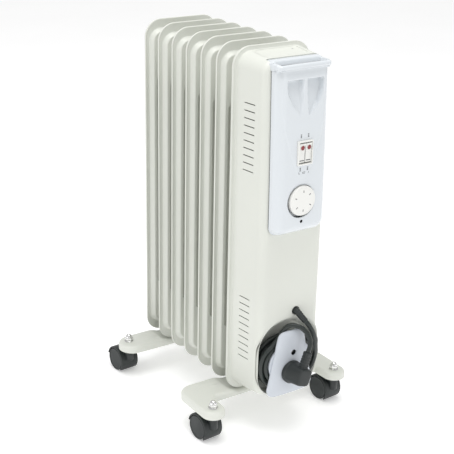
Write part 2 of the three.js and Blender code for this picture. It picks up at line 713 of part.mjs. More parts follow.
// A U-shaped bolt over the lower header collar, with a wing nut on each leg.
function footBolt(where, y) {
  const points = [];
  const top = LOWER_HEADER_Z;
  points.push([-31, 48], [-31, 75], [-31, 100]);
  arc(0, top, 31, 180, 0, 12).forEach((p) => points.push(p));
  points.push([31, 100], [31, 75], [31, 48]);
  const path = new THREE.CatmullRomCurve3(points.map(([x, z]) => new THREE.Vector3(x, y, z)));
  const section = outline(arc(0, 0, 2.9, 0, 360, 8).slice(0, 8));
  const bolt = new THREE.ExtrudeGeometry(section, { steps: 20, extrudePath: path, bevelEnabled: false });
  piece(`u_bolt_${where}`, toSolid(bolt), steel);
  [['left', -31], ['right', 31]].forEach(([side, x]) => {
    const high = UNDER_FINS - FOOT_SHEET - TOUCH;
    const hub = bar([x, y, high - 8], [x, y, high], 5.5, 12);
    const wings = box([x - 1.3, y - 13, high - 9.5], [x + 1.3, y + 13, high - 2.5]);
    const hole = bar([x, y, 40], [x, y, 70], 3.4, 12);
    piece(`wing_nut_${where}_${side}`, hub.add(wings).subtract(hole), steel);
  });
}

// ---------------------------------------------------------------- castors

// A castor at its swivel: fixed stem, swivelling hood, axle and twin wheels. In its own frame
// the wheels trail along +Y and the axle lies along X.
function castor(where, x, y) {
  const place = new THREE.Group();
  place.position.set(x, y, 0);
  place.rotation.z = TRAIL_TURN;
  heater.add(place);

  const nutTop = FOOT_TOP + TOUCH;
  const stem = bar([0, 0, 38], [0, 0, nutTop + 8], STEM_RADIUS, 16);
  const washer = bar([0, 0, nutTop], [0, 0, nutTop + 1.4], 8.2, 20);
  const nut = bar([0, 0, nutTop + 1.3], [0, 0, nutTop + 7], 7.5, 6);
  const capProfile = [[0, 7], [6, 7], [5.7, 9.4], [4.2, 11.9], [1.8, 13.3], [0, 13.6]];
  const cap = new THREE.LatheGeometry(capProfile.map((p) => new THREE.Vector2(p[0], p[1])), 16);
  cap.rotateX(Math.PI / 2);
  cap.translate(0, 0, nutTop - 0.1);
  piece(`stem_${where}`, joined([stem, washer, nut, toSolid(cap)]), chrome, place);

  const axleY = TRAIL;
  const axleZ = FLOOR + WHEEL_RADIUS;
  const shellInner = WHEEL_RADIUS + 1.2;
  const shellOuter = shellInner + 2.3;
  const half = WHEEL_OFFSET + WHEEL_WIDTH / 2;
  const shellAngles = [-42, 168];
  const sector = (radius, more) => arc(axleY, axleZ, radius, 180 - shellAngles[1] - more, 180 - shellAngles[0] + more, 10);
  const shell = slabX(sector(shellOuter, 0).concat(sector(shellInner, 0).reverse()), -half, half);
  const web = slabX(sector(shellOuter, 0), -2.6, 2.6);
  const boss = bar([0, 0, 30], [0, 0, 56.5], 8.4, 16);
  const wheelRoom = [-1, 1].map((side) => {
    const near = side * 3.2;
    const far = side * (half + 2);
    return bar([near, axleY, axleZ], [far, axleY, axleZ], shellInner, 24);
  });
  const bore = bar([0, 0, 26], [0, 0, 60], STEM_RADIUS + 0.4, 16);
  const axleHole = bar([-5, axleY, axleZ], [5, axleY, axleZ], AXLE_RADIUS + 0.35, 16);
  const hood = joined([shell, web, boss]).subtract(joined([...wheelRoom, bore, axleHole]));
  piece(`hood_${where}`, hood, black, place);

  const reach = WHEEL_OFFSET + WHEEL_WIDTH / 2 - 3.4;
  const axle = bar([-reach, axleY, axleZ], [reach, axleY, axleZ], AXLE_RADIUS, 12);
  piece(`axle_${where}`, axle, steel, place);
  [['left', -1], ['right', 1]].forEach(([side, sign]) => {
    piece(`wheel_${where}_${side}`, wheel(sign, axleY, axleZ), black, place);
  });
}

// One wheel: a tyre with rounded shoulders, a sunk outer face and an axle hole open on the
// inner side. A flat facet of the tread rests on the floor.
function wheel(sign, axleY, axleZ) {
  const sides = 24;
  const w = WHEEL_WIDTH / 2;
  const r = WHEEL_RADIUS / Math.cos(Math.PI / sides);
  const bore = AXLE_RADIUS + 0.45;
  const profile = [
    [bore, -w], [r - 1.5, -w], [r, -w + 1.5], [r, w - 1.5], [r - 1.5, w], [r - 4, w], [r - 5, w - 1.2],
    [0, w - 1.2], [0, w - 3], [bore, w - 3], [bore, -w],
  ];
  const round = new THREE.LatheGeometry(profile.map((p) => new THREE.Vector2(p[0], p[1])), sides);
  round.rotateY(Math.PI / sides);
  round.rotateZ(-Math.PI / 2);
  if (sign < 0) {
    round.rotateZ(Math.PI);
  }
  round.translate(sign * WHEEL_OFFSET, axleY, axleZ);
  return toSolid(round);
}

// ---------------------------------------------------------------- inner working parts

function heatingElement() {
  const rear = finY(1);
  const front = -SWELL - 2 - TOUCH;
  const bend = 6;
  const path = new THREE.CurvePath();
  const start = new THREE.Vector3(-bend, front - 15, LOWER_HEADER_Z);
  const farLeft = new THREE.Vector3(-bend, rear - 12, LOWER_HEADER_Z);
  const farRight = new THREE.Vector3(bend, rear - 12, LOWER_HEADER_Z);
  const end = new THREE.Vector3(bend, front - 15, LOWER_HEADER_Z);
  const middle = new THREE.Vector3(0, rear - 12 + bend * 2, LOWER_HEADER_Z);
  path.add(new THREE.LineCurve3(start, farLeft));
  path.add(new THREE.QuadraticBezierCurve3(farLeft, middle, farRight));
  path.add(new THREE.LineCurve3(farRight, end));
  const spaced = path.getPoints(6).filter((p, i, all) => i === 0 || p.distanceTo(all[i - 1]) > 0.5);
  const curve = new THREE.CatmullRomCurve3(spaced, false, 'centripetal');
  const section = outline(arc(0, 0, 3.6, 0, 360, 8).slice(0, 8));
  const rod = new THREE.ExtrudeGeometry(section, { steps: 24, extrudePath: curve, bevelEnabled: false });
  const flange = pinY(0, LOWER_HEADER_Z, front, front - 3, 19, 20);
  piece('heating_element', toSolid(rod).add(flange), steel);
}

function innerParts() {
  heatingElement();
  const face = -SWELL - TOUCH;
  const disc = pinY(0, 360, face, face - 5, 9, 16);
  const lugs = [-6, 6].map((x) => box([x - 2.5, face - 12, 359.4], [x + 2.5, face - 4.9, 360.6]));
  piece('thermal_cutout', joined([disc, ...lugs]), ceramic);
  const block = box([-20, face - 16, 250], [20, face, 268]);
  const wells = [-13, 0, 13].map((x) => pinY(x, 259, face - 8, face - 20, 3, 10));
  piece('terminal_block', block.subtract(joined(wells)), ceramic);
}

// ---------------------------------------------------------------- the whole heater

fins();
frontCover();
controlPanel();
switches();
thermostat();
screwY('panel_screw', 0, PANEL_SCREW_Z, -PANEL_DEPTH + 6.7, -66, 2.6);
winder();
plug();
cord();
foot('front_foot', frontFootOutline(), FRONT_NUT_Y, FIN_PITCH / 2);
foot('rear_foot', rearFootOutline(), REAR_NUT_Y, REAR_NUT_Y - 4);
footBolt('front', FIN_PITCH / 2);
footBolt('rear', REAR_NUT_Y - 4);
[['front', FRONT_NUT_Y], ['rear', REAR_NUT_Y]].forEach(([end, y]) => {
  castor(`${end}_left`, -NUT_X, y);
  castor(`${end}_right`, NUT_X, y);
});
innerParts();

export default model;
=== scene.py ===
"""Oil filled radiator heater: the visual model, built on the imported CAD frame.
Lengths in the helpers are millimetres in the heater's own layout: X from the middle of the
fins, Y from the plane of the front fin (the controls face -Y), Z up from the floor."""
import json
import math

import bmesh
import bpy
import numpy as np
from mathutils import Matrix, Vector
from mathutils.geometry import delaunay_2d_cdt

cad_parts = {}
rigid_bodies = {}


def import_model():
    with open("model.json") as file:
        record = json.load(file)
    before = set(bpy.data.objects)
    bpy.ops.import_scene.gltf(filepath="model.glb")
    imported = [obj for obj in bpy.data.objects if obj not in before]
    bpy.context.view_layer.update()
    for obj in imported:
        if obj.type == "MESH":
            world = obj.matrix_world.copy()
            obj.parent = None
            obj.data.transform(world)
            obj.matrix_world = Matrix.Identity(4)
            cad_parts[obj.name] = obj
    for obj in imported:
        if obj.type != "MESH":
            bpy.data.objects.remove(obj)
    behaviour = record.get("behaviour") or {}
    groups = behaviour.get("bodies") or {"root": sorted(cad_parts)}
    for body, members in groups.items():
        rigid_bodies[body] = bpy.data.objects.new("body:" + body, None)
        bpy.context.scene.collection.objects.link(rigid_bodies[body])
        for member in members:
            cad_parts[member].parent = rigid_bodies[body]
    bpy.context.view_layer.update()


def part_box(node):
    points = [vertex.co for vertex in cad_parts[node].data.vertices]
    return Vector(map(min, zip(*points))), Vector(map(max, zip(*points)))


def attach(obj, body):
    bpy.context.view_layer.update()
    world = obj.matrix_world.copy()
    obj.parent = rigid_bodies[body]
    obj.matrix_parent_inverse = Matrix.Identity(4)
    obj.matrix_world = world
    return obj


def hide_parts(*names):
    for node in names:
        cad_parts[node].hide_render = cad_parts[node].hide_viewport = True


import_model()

# ------------------------------------------------------------------ layout from the frame

FINS = 7
PITCH = 43.8
FLOOR = 6  # height of the floor in the layout


def middle(node):
    low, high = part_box(node)
    return (low + high) / 2


X0 = middle("fin_4").x
Y0 = middle("fin_4").y - 3 * PITCH / 1000


def at(x, y, z):
    """A point of the heater's own layout in the row frame, in metres."""
    return Vector((X0 + x / 1000, Y0 + y / 1000, (z - FLOOR) / 1000))


# ------------------------------------------------------------------ camera

AZIMUTH, ELEVATION, ROLL = math.radians(-34.23), math.radians(20.90), math.radians(1.17)
LENS, LENS_SHIFT = 85.3, (0.00165, 0.0041)
LOOK_AT = (-9.11, 100, 308.42)
DISTANCE = 1.8305  # metres


def camera():
    back = Vector((
        math.sin(AZIMUTH) * math.cos(ELEVATION),
        -math.cos(AZIMUTH) * math.cos(ELEVATION),
        math.sin(ELEVATION),
    ))
    level_right = Vector((math.cos(AZIMUTH), math.sin(AZIMUTH), 0))
    level_up = back.cross(level_right)
    right = math.cos(ROLL) * level_right + math.sin(ROLL) * level_up
    up = -math.sin(ROLL) * level_right + math.cos(ROLL) * level_up
    data = bpy.data.cameras.new("camera")
    data.lens = LENS
    data.sensor_width = 36
    data.shift_x, data.shift_y = LENS_SHIFT
    data.clip_end = 50
    obj = bpy.data.objects.new("camera", data)
    bpy.context.scene.collection.objects.link(obj)
    place = Matrix((right, up, back)).transposed().to_4x4()
    place.translation = at(*LOOK_AT) + back * DISTANCE
    obj.matrix_world = place
    bpy.context.scene.camera = obj


camera()

# ------------------------------------------------------------------ materials


class Nodes:
    """A material's node tree, with a short way to add and join nodes."""

    def __init__(self, name):
        self.material = bpy.data.materials.new(name)
        self.material.use_nodes = True
        self.tree = self.material.node_tree
        self.shader = self.tree.nodes["Principled BSDF"]
        self.coords = self.add("ShaderNodeTexCoord").outputs["Object"]

    def add(self, kind, **inputs):
        node = self.tree.nodes.new(kind)
        for key, value in inputs.items():
            self.set(node, key, value)
        return node

    def set(self, node, key, value):
        socket = node.inputs[key.replace("_", " ")] if isinstance(key, str) else node.inputs[key]
        if isinstance(value, bpy.types.NodeSocket):
            self.tree.links.new(value, socket)
        else:
            socket.default_value = value

    def noise(self, scale, detail=2.0, rough=0.5, stretch=None):
        source = self.coords
        if stretch:
            mapping = self.add("ShaderNodeMapping", Vector=source)
            mapping.inputs["Scale"].default_value = stretch
            source = mapping.outputs[0]
        node = self.add("ShaderNodeTexNoise", Vector=source, Scale=scale, Detail=detail, Roughness=rough)
        return node.outputs["Fac"]

    def span(self, value, low, high):
        """A noise value stretched to run from low to high."""
        node = self.add("ShaderNodeMapRange", Value=value)
        numbers = {"From Min": 0.3, "From Max": 0.7, "To Min": low, "To Max": high}
        for key, number in numbers.items():
            node.inputs[key].default_value = number
        return node.outputs["Result"]

    def mix(self, factor, a, b):
        node = self.tree.nodes.new("ShaderNodeMix")
        node.data_type = "RGBA"
        sockets = [s for s in node.inputs if s.type == "RGBA"]
        self.tree.links.new(factor, node.inputs[0])
        for socket, value in zip(sockets, (a, b)):
            if isinstance(value, bpy.types.NodeSocket):
                self.tree.links.new(value, socket)
            else:
                socket.default_value = (*value, 1)
        return [s for s in node.outputs if s.type == "RGBA"][0]

    def bump(self, height, strength, distance):
        node = self.add("ShaderNodeBump", Height=height, Strength=strength, Distance=distance)
        return node.outputs["Normal"]

    def finish(self, **values):
        for key, value in values.items():
            self.set(self.shader, key, value)
        return self.material


def painted(name, light, dark, rough=(0.34, 0.44), bump=0.12):
    """Baked enamel: faint orange peel and slow tone drift."""
    n = Nodes(name)
    drift = n.noise(7, 3)
    fine = n.noise(900, 1)
    peel = n.noise(420, 2, 0.6)
    tone = n.mix(n.span(drift, 0, 1), light, dark)
    tone = n.mix(n.span(fine, 0, 0.10), tone, tuple(c * 0.86 for c in dark))
    normal = n.bump(peel, bump, 0.0002)
    return n.finish(
        Base_Color=tone, Roughness=n.span(n.noise(30, 2), *rough), Normal=normal,
        Specular_IOR_Level=0.5,
    )


def moulded(name, light, dark, rough=(0.30, 0.38), grain=0.05, scale=1400, coat=0.0):
    """Injection moulded plastic: very fine spark texture with slow flow marks."""
    n = Nodes(name)
    flow = n.noise(9, 3, 0.6, stretch=(1, 1, 0.35))
    spark = n.noise(scale, 1)
    tone = n.mix(n.span(flow, 0, 1), light, dark)
    tone = n.mix(n.span(spark, 0, 0.08), tone, tuple(c * 0.8 for c in dark))
    normal = n.bump(spark, grain, 0.0001)
    n.shader.inputs["Coat Weight"].default_value = coat
    n.shader.inputs["Coat Roughness"].default_value = 0.15
    return n.finish(Base_Color=tone, Roughness=n.span(n.noise(40, 2), *rough), Normal=normal)


def metal(name, light, dark, rough, brush=None, bump=0.1):
    n = Nodes(name)
    grain = n.noise(260, 3, 0.6, stretch=brush or (1, 1, 1))
    tone = n.mix(n.span(grain, 0, 1), light, dark)
    n.shader.inputs["Metallic"].default_value = 1.0
    return n.finish(
        Base_Color=tone, Roughness=n.span(grain, *rough), Normal=n.bump(grain, bump, 0.0001),
    )


MATERIALS = {
    "enamel": painted("enamel", (0.72, 0.735, 0.68), (0.69, 0.705, 0.65)),
    "panel": moulded(
        "panel_plastic", (0.70, 0.735, 0.765), (0.685, 0.722, 0.752), (0.20, 0.25), coat=0.5),
    "winder": moulded(
        "winder_plastic", (0.60, 0.635, 0.685), (0.56, 0.595, 0.645), (0.3, 0.38)),
    "white": moulded("white_plastic", (0.86, 0.86, 0.83), (0.82, 0.82, 0.79), (0.26, 0.34)),
    "black": moulded(
        "black_plastic", (0.020, 0.025, 0.025), (0.013, 0.017, 0.017), (0.40, 0.5), 0.2, 900),
    # painted shade: a near-black material for gaps, wells and holes where only shade falls
    "dark": moulded("painted_shade", (0.020, 0.022, 0.024), (0.014, 0.015, 0.017), (0.6, 0.7)),
    "tyre": moulded(
        "tyre_nylon", (0.022, 0.027, 0.027), (0.015, 0.019, 0.02), (0.45, 0.6), 0.25, 700),
    "cord": moulded(
        "cord_sheath", (0.024, 0.031, 0.028), (0.015, 0.020, 0.018), (0.30, 0.4), 0.15, 1100),
    "ink": moulded("grey_print", (0.12, 0.125, 0.13), (0.09, 0.095, 0.10), (0.5, 0.6)),
    "chrome": metal("chrome", (0.83, 0.83, 0.82), (0.74, 0.74, 0.74), (0.06, 0.14), bump=0.04),
    "zinc": metal(
        "zinc_plated_steel", (0.62, 0.62, 0.60), (0.48, 0.49, 0.49), (0.26, 0.42), (1, 1, 6)),
    "brass": metal("brass", (0.72, 0.55, 0.26), (0.60, 0.44, 0.20), (0.22, 0.35), (8, 8, 1)),
    "ceramic": moulded(
        "ceramic", (0.74, 0.71, 0.64), (0.66, 0.63, 0.56), (0.6, 0.75), 0.3, 500),
}


def red_lens():
    n = Nodes("red_lens")
    ripple = n.noise(600, 1)
    tone = n.mix(n.span(ripple, 0, 1), (0.28, 0.006, 0.012), (0.17, 0.003, 0.007))
    n.shader.inputs["Coat Weight"].default_value = 0.8
    n.shader.inputs["Coat Roughness"].default_value = 0.05
    return n.finish(
        Base_Color=tone, Roughness=n.span(ripple, 0.15, 0.3), Normal=n.bump(ripple, 0.15, 0.0002),
    )


MATERIALS["red"] = red_lens()

# ------------------------------------------------------------------ mesh helpers

TO_FRONT = (0, -1, 0)
TO_BACK = (0, 1, 0)
UP = (0, 0, 1)


def link(obj, material, body, nodes=()):
    """Puts an object in the scene with its look, its body and the CAD nodes it stands for."""
    bpy.context.scene.collection.objects.link(obj)
    if material:
        obj.data.materials.append(MATERIALS[material])
    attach(obj, body)
    if nodes:
        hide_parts(*nodes)
    return obj


def to_metres(points):
    points = np.asarray(points, float)
    return np.c_[X0 + points[:, 0] / 1000, Y0 + points[:, 1] / 1000, (points[:, 2] - FLOOR) / 1000]


def mesh_of(name, points, faces, angle=35, weld=0.002):
    """A mesh from layout points in millimetres, shaded smooth except at sharp edges."""
    mesh = bpy.data.meshes.new(name)
    mesh.from_pydata(to_metres(points).tolist(), [], [list(f) for f in faces])
    tool = bmesh.new()
    tool.from_mesh(mesh)
    if weld:
        bmesh.ops.remove_doubles(tool, verts=tool.verts, dist=weld / 1000)
        bmesh.ops.dissolve_degenerate(tool, edges=tool.edges, dist=weld / 2000)
    bmesh.ops.recalc_face_normals(tool, faces=tool.faces)
    tool.to_mesh(mesh)
    tool.free()
    mesh.shade_smooth()
    mesh.set_sharp_from_angle(angle=math.radians(angle))
    return mesh


def obj_of(name, points, faces, angle=35, weld=0.002):
    return bpy.data.objects.new(name, mesh_of(name, points, faces, angle, weld))


def piece(name, shape, material, nodes=(), body="heater", angle=35):
    """A finished piece from its shape, as (points, faces)."""
    return link(obj_of(name, *shape, angle=angle), material, body, nodes)


def joined(parts):
    """Point and face lists put together."""
    points, faces = [], []
    for part_points, part_faces in parts:
        shift = len(points)
        points += [tuple(p) for p in part_points]
        faces += [[i + shift for i in face] for face in part_faces]
    return points, faces


def bridge(rings, closed=True):
    """Faces between rings of points with equal counts."""
    count = len(rings[0])
    points = [tuple(p) for ring in rings for p in ring]
    faces = []
    for a in range(0, count * (len(rings) - 1), count):
        for i in range(count if closed else count - 1):
            j = (i + 1) % count
            faces.append([a + i, a + j, a + count + j, a + count + i])
    return points, faces


def capped(rings):
    """A bridge with one flat face over each end."""
    points, faces = bridge(rings)
    count, total = len(rings[0]), len(points)
    return points, faces + [list(range(count)), list(range(total - count, total))]


def fan(ring, centre=None):
    """A cap over a ring, as triangles to its centre."""
    ring = [tuple(p) for p in ring]
    centre = np.mean(np.array(ring), axis=0) if centre is None else centre
    last = len(ring)
    return ring + [tuple(centre)], [[i, (i + 1) % last, last] for i in range(last)]


def revolve(profile, centre, axis, sides=48):
    """A body of revolution: profile pairs are (distance along the axis, radius)."""
    axis = Vector(axis).normalized()
    side = axis.orthogonal().normalized()
    other = axis.cross(side)
    rings = []
    for along, radius in profile:
        ring = []
        for i in range(sides):
            turn = 2 * math.pi * i / sides
            offset = axis * along + (side * math.cos(turn) + other * math.sin(turn)) * max(radius, 0.0)
            ring.append(tuple(Vector(centre) + offset))
        rings.append(ring)
    return bridge(rings)


def arc(x, y, radius, start, stop, steps):
    turns = np.radians(np.linspace(start, stop, steps + 1))
    return [(x + radius * math.cos(t), y + radius * math.sin(t)) for t in turns]


def cut(obj, cutters):
    """Takes cutters, as (points, faces), out of an object that isn't in the scene yet."""
    shown = bpy.context.scene.collection.objects
    tool = bpy.data.objects.new("tool", mesh_of("tool", *joined(cutters), weld=0.001))
    shown.link(tool)
    shown.link(obj)
    modifier = obj.modifiers.new("cut", "BOOLEAN")
    modifier.operation = "DIFFERENCE"
    modifier.object = tool
    modifier.solver = "EXACT"
    graph = bpy.context.evaluated_depsgraph_get()
    result = bpy.data.meshes.new_from_object(obj.evaluated_get(graph))
    obj.modifiers.remove(modifier)
    obj.data = result
    bpy.data.objects.remove(tool)
    shown.unlink(obj)
    result.shade_smooth()
    result.set_sharp_from_angle(angle=math.radians(30))


def brick(low, high):
    points = [
        (x, y, z) for x in (low[0], high[0]) for y in (low[1], high[1]) for z in (low[2], high[2])
    ]
    faces = [[0, 1, 3, 2], [4, 6, 7, 5], [0, 4, 5, 1], [2, 3, 7, 6], [0, 2, 6, 4], [1, 5, 7, 3]]
    return points, faces


def rod(a, b, radius, sides=32, end=None):
    a, b = Vector(a), Vector(b)
    length = (b - a).length
    end = radius if end is None else end
    return revolve([(0, 0), (0, radius), (length, end), (length, 0)], a, b - a, sides)


def sweep(route, radii, sides=24):
    """A round body along a route, with a radius at each point, closed at both ends."""
    route = [Vector(p) for p in route]
    normal, rings = None, []
    for i, p in enumerate(route):
        ahead = (route[min(i + 1, len(route) - 1)] - route[max(i - 1, 0)]).normalized()
        if normal is None:
            normal = ahead.orthogonal().normalized()
        normal = (normal - ahead * normal.dot(ahead)).normalized()
        other = ahead.cross(normal)
        ring = []
        for k in range(sides):
            turn = 2 * math.pi * k / sides
            ring.append(tuple(p + (normal * math.cos(turn) + other * math.sin(turn)) * radii[i]))
        rings.append(ring)
    return joined([bridge(rings), fan(rings[0]), fan(rings[-1])])


def between(p0, p1, p2, p3, t):
    """A point of a smooth curve between p1 and p2, which also looks at their neighbours."""
    bend = (2 * p0 - 5 * p1 + 4 * p2 - p3) * t * t + (-p0 + 3 * p1 - 3 * p2 + p3) * t ** 3
    return 0.5 * (2 * p1 + (-p0 + p2) * t + bend)


def spline(points, steps=12):
    """A smooth open curve through given points."""
    pts = [np.array(p, float) for p in points]
    pts = [2 * pts[0] - pts[1]] + pts + [2 * pts[-1] - pts[-2]]
    out = []
    for p0, p1, p2, p3 in zip(pts, pts[1:], pts[2:], pts[3:]):
        out += [between(p0, p1, p2, p3, t) for t in np.linspace(0, 1, steps, endpoint=False)]
    out.append(pts[-2])
    return out


def smoothstep(t):
    t = np.clip(t, 0, 1)
    return t * t * (3 - 2 * t)


# ------------------------------------------------------------------ plates with a grid face

def corner_map(x, z, half, low, high, low_r, high_r):
    """Moves the points of a rectangle on to the same rectangle with round corners."""
    x, z = np.array(x, float), np.array(z, float)
    out_x, out_z = x.copy(), z.copy()
    for radius, edge, sign in ((low_r, low, -1), (high_r, high, 1)):
        u = (np.abs(x) - (half - radius)) / radius
        v = sign * (z - (edge - sign * radius)) / radius
        inside = (u > 0) & (v > 0)
        u, v = np.where(inside, u, 0), np.where(inside, v, 0)
        new_x = (half - radius) + radius * u * np.sqrt(1 - v * v / 2)
        new_z = (edge - sign * radius) + sign * radius * v * np.sqrt(1 - u * u / 2)
        out_x = np.where(inside, np.sign(x) * new_x, out_x)
        out_z = np.where(inside, new_z, out_z)
    return out_x, out_z


class Plate:
    """An upright plate: a grid over a round-cornered outline, and rings around its border.
    An outline is (half width, low, high, lower corner radius, upper corner radius)."""

    def __init__(self, size, xs, zs):
        half, low, high, _, _ = size
        self.size = size
        self.columns = (np.array(xs) + half) / (2 * half)
        self.rows = (np.array(zs) - low) / (high - low)
        self.x, self.z = self.grid(*size)
        n, m = len(xs), len(zs)
        self.border = [(i, 0) for i in range(n - 1)] + [(n - 1, j) for j in range(m - 1)]
        self.border += [(i, m - 1) for i in range(n - 1, 0, -1)]
        self.border += [(0, j) for j in range(m - 1, 0, -1)]

    def grid(self, half, low, high, low_r, high_r):
        """The grid on an outline: lines inside the corner zones stay in the corner zones."""
        base_half, base_low, base_high, base_low_r, base_high_r = self.size
        base_r, radius = max(base_low_r, base_high_r), max(low_r, high_r)
        across = np.interp(
            (self.columns * 2 - 1) * base_half,
            [-base_half, -base_half + base_r, base_half - base_r, base_half],
            [-half, -half + radius, half - radius, half],
        )
        up = np.interp(
            base_low + self.rows * (base_high - base_low),
            [base_low, base_low + base_low_r, base_high - base_high_r, base_high],
            [low, low + low_r, high - high_r, high],
        )
        gx, gz = np.meshgrid(across, up, indexing="ij")
        return corner_map(gx, gz, half, low, high, low_r, high_r)

    def ring(self, half, low, high, low_r, high_r):
        x, z = self.grid(half, low, high, low_r, high_r)
        return [(x[i, j], z[i, j]) for i, j in self.border]

    def face(self, height):
        """Points and faces of the grid; height(x, z) gives y."""
        n, m = self.x.shape
        y = height(self.x, self.z)
        points = [(self.x[i, j], y[i, j], self.z[i, j]) for i in range(n) for j in range(m)]
        faces = [
            [i * m + j, (i + 1) * m + j, (i + 1) * m + j + 1, i * m + j + 1]
            for i in range(n - 1) for j in range(m - 1)
        ]
        return points, faces

    def sides(self, levels, bend=lambda y, z: y):
        """Rings around the border. levels are (outline, y); the first is the border itself."""
        return bridge([
            [(x, bend(y, z), z) for x, z in self.ring(*outline)] for outline, y in levels
        ])


def lines(*stretches):
    """Places from stretches (from, to, step), without doubles."""
    out = []
    for start, stop, step in stretches:
        count = max(1, round(abs(stop - start) / step))
        out += list(np.linspace(start, stop, count + 1))
    return sorted(set(round(v, 4) for v in out))


# ------------------------------------------------------------------ cord

LEAD_ROUTE = [
    (19, -92, 206), (20.5, -94, 203.5), (23, -97, 198.5), (26, -99, 192.5), (29, -100, 186),
    (32, -99.5, 180), (35.5, -98, 174), (38, -96, 168), (40, -93.5, 162), (42.5, -91, 155.5),
    (45, -88.5, 149.5), (47.5, -86, 144),
]
INTO_COIL = [(49.5, -83, 138), (51, -80, 131.5)]
OUT_OF_COIL = [(-19, -74.5, 181.5), (-12.5, -76, 192)]
TAIL_ROUTE = [
    (-5, -80.5, 200), (5.5, -88.5, 199.5), (12, -96, 195), (15.5, -103.5, 187.5),
    (15.5, -109.5, 178), (13, -112.5, 169.5), (10.5, -113, 164.5),
]
CORD_RADIUS = 4
WINDER_X, WINDER_Z = -1, 134
INNER_TURNS = 45.6
WINDER_FLAT = 6  # how much less the turns reach up and down than sideways


def coil_route(step=18):
    """The turns on the winder: three beside each other on the hub, then more on top of them."""
    route = []
    for turn in np.arange(105, 1771, step):
        if turn < 1260:
            radius = INNER_TURNS + 8 * (1 - float(smoothstep((turn - 105) / 75)))
            y = -77.4 + 24.6 * max(turn - 180, 0) / 1080
        else:
            radius = INNER_TURNS + 8 * float(smoothstep((turn - 1260) / 60))
            y = -52.8 - 21.7 * (turn - 1260) / 500
        angle = math.radians(turn)
        tall = radius - WINDER_FLAT - WINDER_FLAT * max(math.cos(angle), 0)
        route.append((WINDER_X + radius * math.sin(angle), y, WINDER_Z + tall * math.cos(angle)))
    return route


def cord():
    route = LEAD_ROUTE + INTO_COIL + coil_route() + OUT_OF_COIL + TAIL_ROUTE + [(9.6, -113, 161)]
    curve = bpy.data.curves.new("power_cord", "CURVE")
    curve.dimensions = "3D"
    curve.bevel_depth = CORD_RADIUS / 1000
    curve.bevel_resolution = 5
    curve.use_fill_caps = True
    curve.resolution_u = 6
    line = curve.splines.new("BEZIER")
    line.bezier_points.add(len(route) - 1)
    for point, place in zip(line.bezier_points, route):
        point.co = at(*place)
        point.handle_left_type = "AUTO"
        point.handle_right_type = "AUTO"
    obj = bpy.data.objects.new("power_cord", curve)
    return link(obj, "cord", "heater", ["cord_lead", "cord_coil", "cord_tail"])


SLEEVE_ROUTE = [
    (12, -63, 220), (12, -70, 220), (12.4, -77, 219.4), (14.2, -84, 214.6), (16.6, -88.6, 210),
    (19, -91.6, 206.4),
]
SLEEVE_COLLAR = [(0, 0), (0, 8.4), (0.8, 8.6), (1.8, 8.3), (2.4, 7.7), (2.7, 6.8), (2.7, 0)]


def strain_relief():
    """The tapered, grooved sleeve that guides the cord out of the front."""
    route = spline(SLEEVE_ROUTE, 10)
    radii = []
    for i in range(len(route)):
        share = i / (len(route) - 1)
        groove = 0.45 if 0.45 < share < 0.93 and int(share * 44) % 4 == 0 else 0
        radii.append(6.4 - 1.6 * share ** 0.8 - groove)
    radii[-1] = 4.5
    shape = joined([
        sweep(route, radii, 40), revolve(SLEEVE_COLLAR, (12, -64.6, 220), TO_FRONT, 48),
    ])
    return piece("cord_sleeve", shape, "black", ["cord_boot"], angle=40)


cord_obj = cord()
sleeve_obj = strain_relief()

# ------------------------------------------------------------------ fins

FIN_OUT = (72, 63, 643, 30, 30)
SWELL_OUT = (65, 78, 628, 22, 22)
RIM = 1.3
SWELL = 9.5


def chamfer_inside(x, z, low_x, high_x, low_z, high_z, chamfer):
    """How far inside a chamfered rectangle a point is; negative outside."""
    dx = np.minimum(x - low_x, high_x - x)
    dz = np.minimum(z - low_z, high_z - z)
    return np.minimum(np.minimum(dx, dz), (dx + dz - chamfer) / math.sqrt(2))


def fin_height(x, z):
    """How far a fin's sheet stands from the rim plane."""
    half, low, high, radius, _ = SWELL_OUT
    qx, qz = np.abs(x) - (half - radius), np.abs(z - (low + high) / 2) - ((high - low) / 2 - radius)
    outside = np.hypot(np.maximum(qx, 0), np.maximum(qz, 0)) + np.minimum(np.maximum(qx, qz), 0) - radius
    swell = smoothstep(-outside / 6.0)
    window = chamfer_inside(np.abs(x), z, 9, 54, 157, 549, 9)
    sunk = smoothstep(window / 2.6)
    return RIM + (SWELL - RIM) * swell * (1 - sunk)


# share of the way from the swell's foot to the fin's edge, and the height above the middle there
FIN_RIM = [
    (0, RIM), (0.06, RIM), (0.80, RIM), (0.86, RIM + 0.35), (0.93, RIM + 0.45),
    (0.975, RIM + 0.2), (0.993, 0.9), (1.0, 0),
]


def toward(start, end, share):
    return tuple(a + (b - a) * share for a, b in zip(start, end))


def fin_mesh():
    right = lines((0, 8, 4), (8, 13, 0.7), (13, 43, 6), (43, 50, 2), (50, 55, 0.6), (55, 65, 0.8))
    xs = sorted(set([-v for v in right] + right))
    zs = lines(
        (78, 90, 1.0), (90, 100, 2.5), (100, 155, 9), (155, 170, 0.8), (170, 536, 14),
        (536, 551, 0.8), (551, 606, 9), (606, 616, 2.5), (616, 628, 1.0),
    )
    plate = Plate(SWELL_OUT, xs, zs)
    parts = []
    for side in (-1, 1):
        levels = [(toward(SWELL_OUT, FIN_OUT, share), side * y) for share, y in FIN_RIM]
        parts.append(plate.face(lambda x, z: side * fin_height(x, z)))
        parts.append(plate.sides(levels))
    return joined(parts)


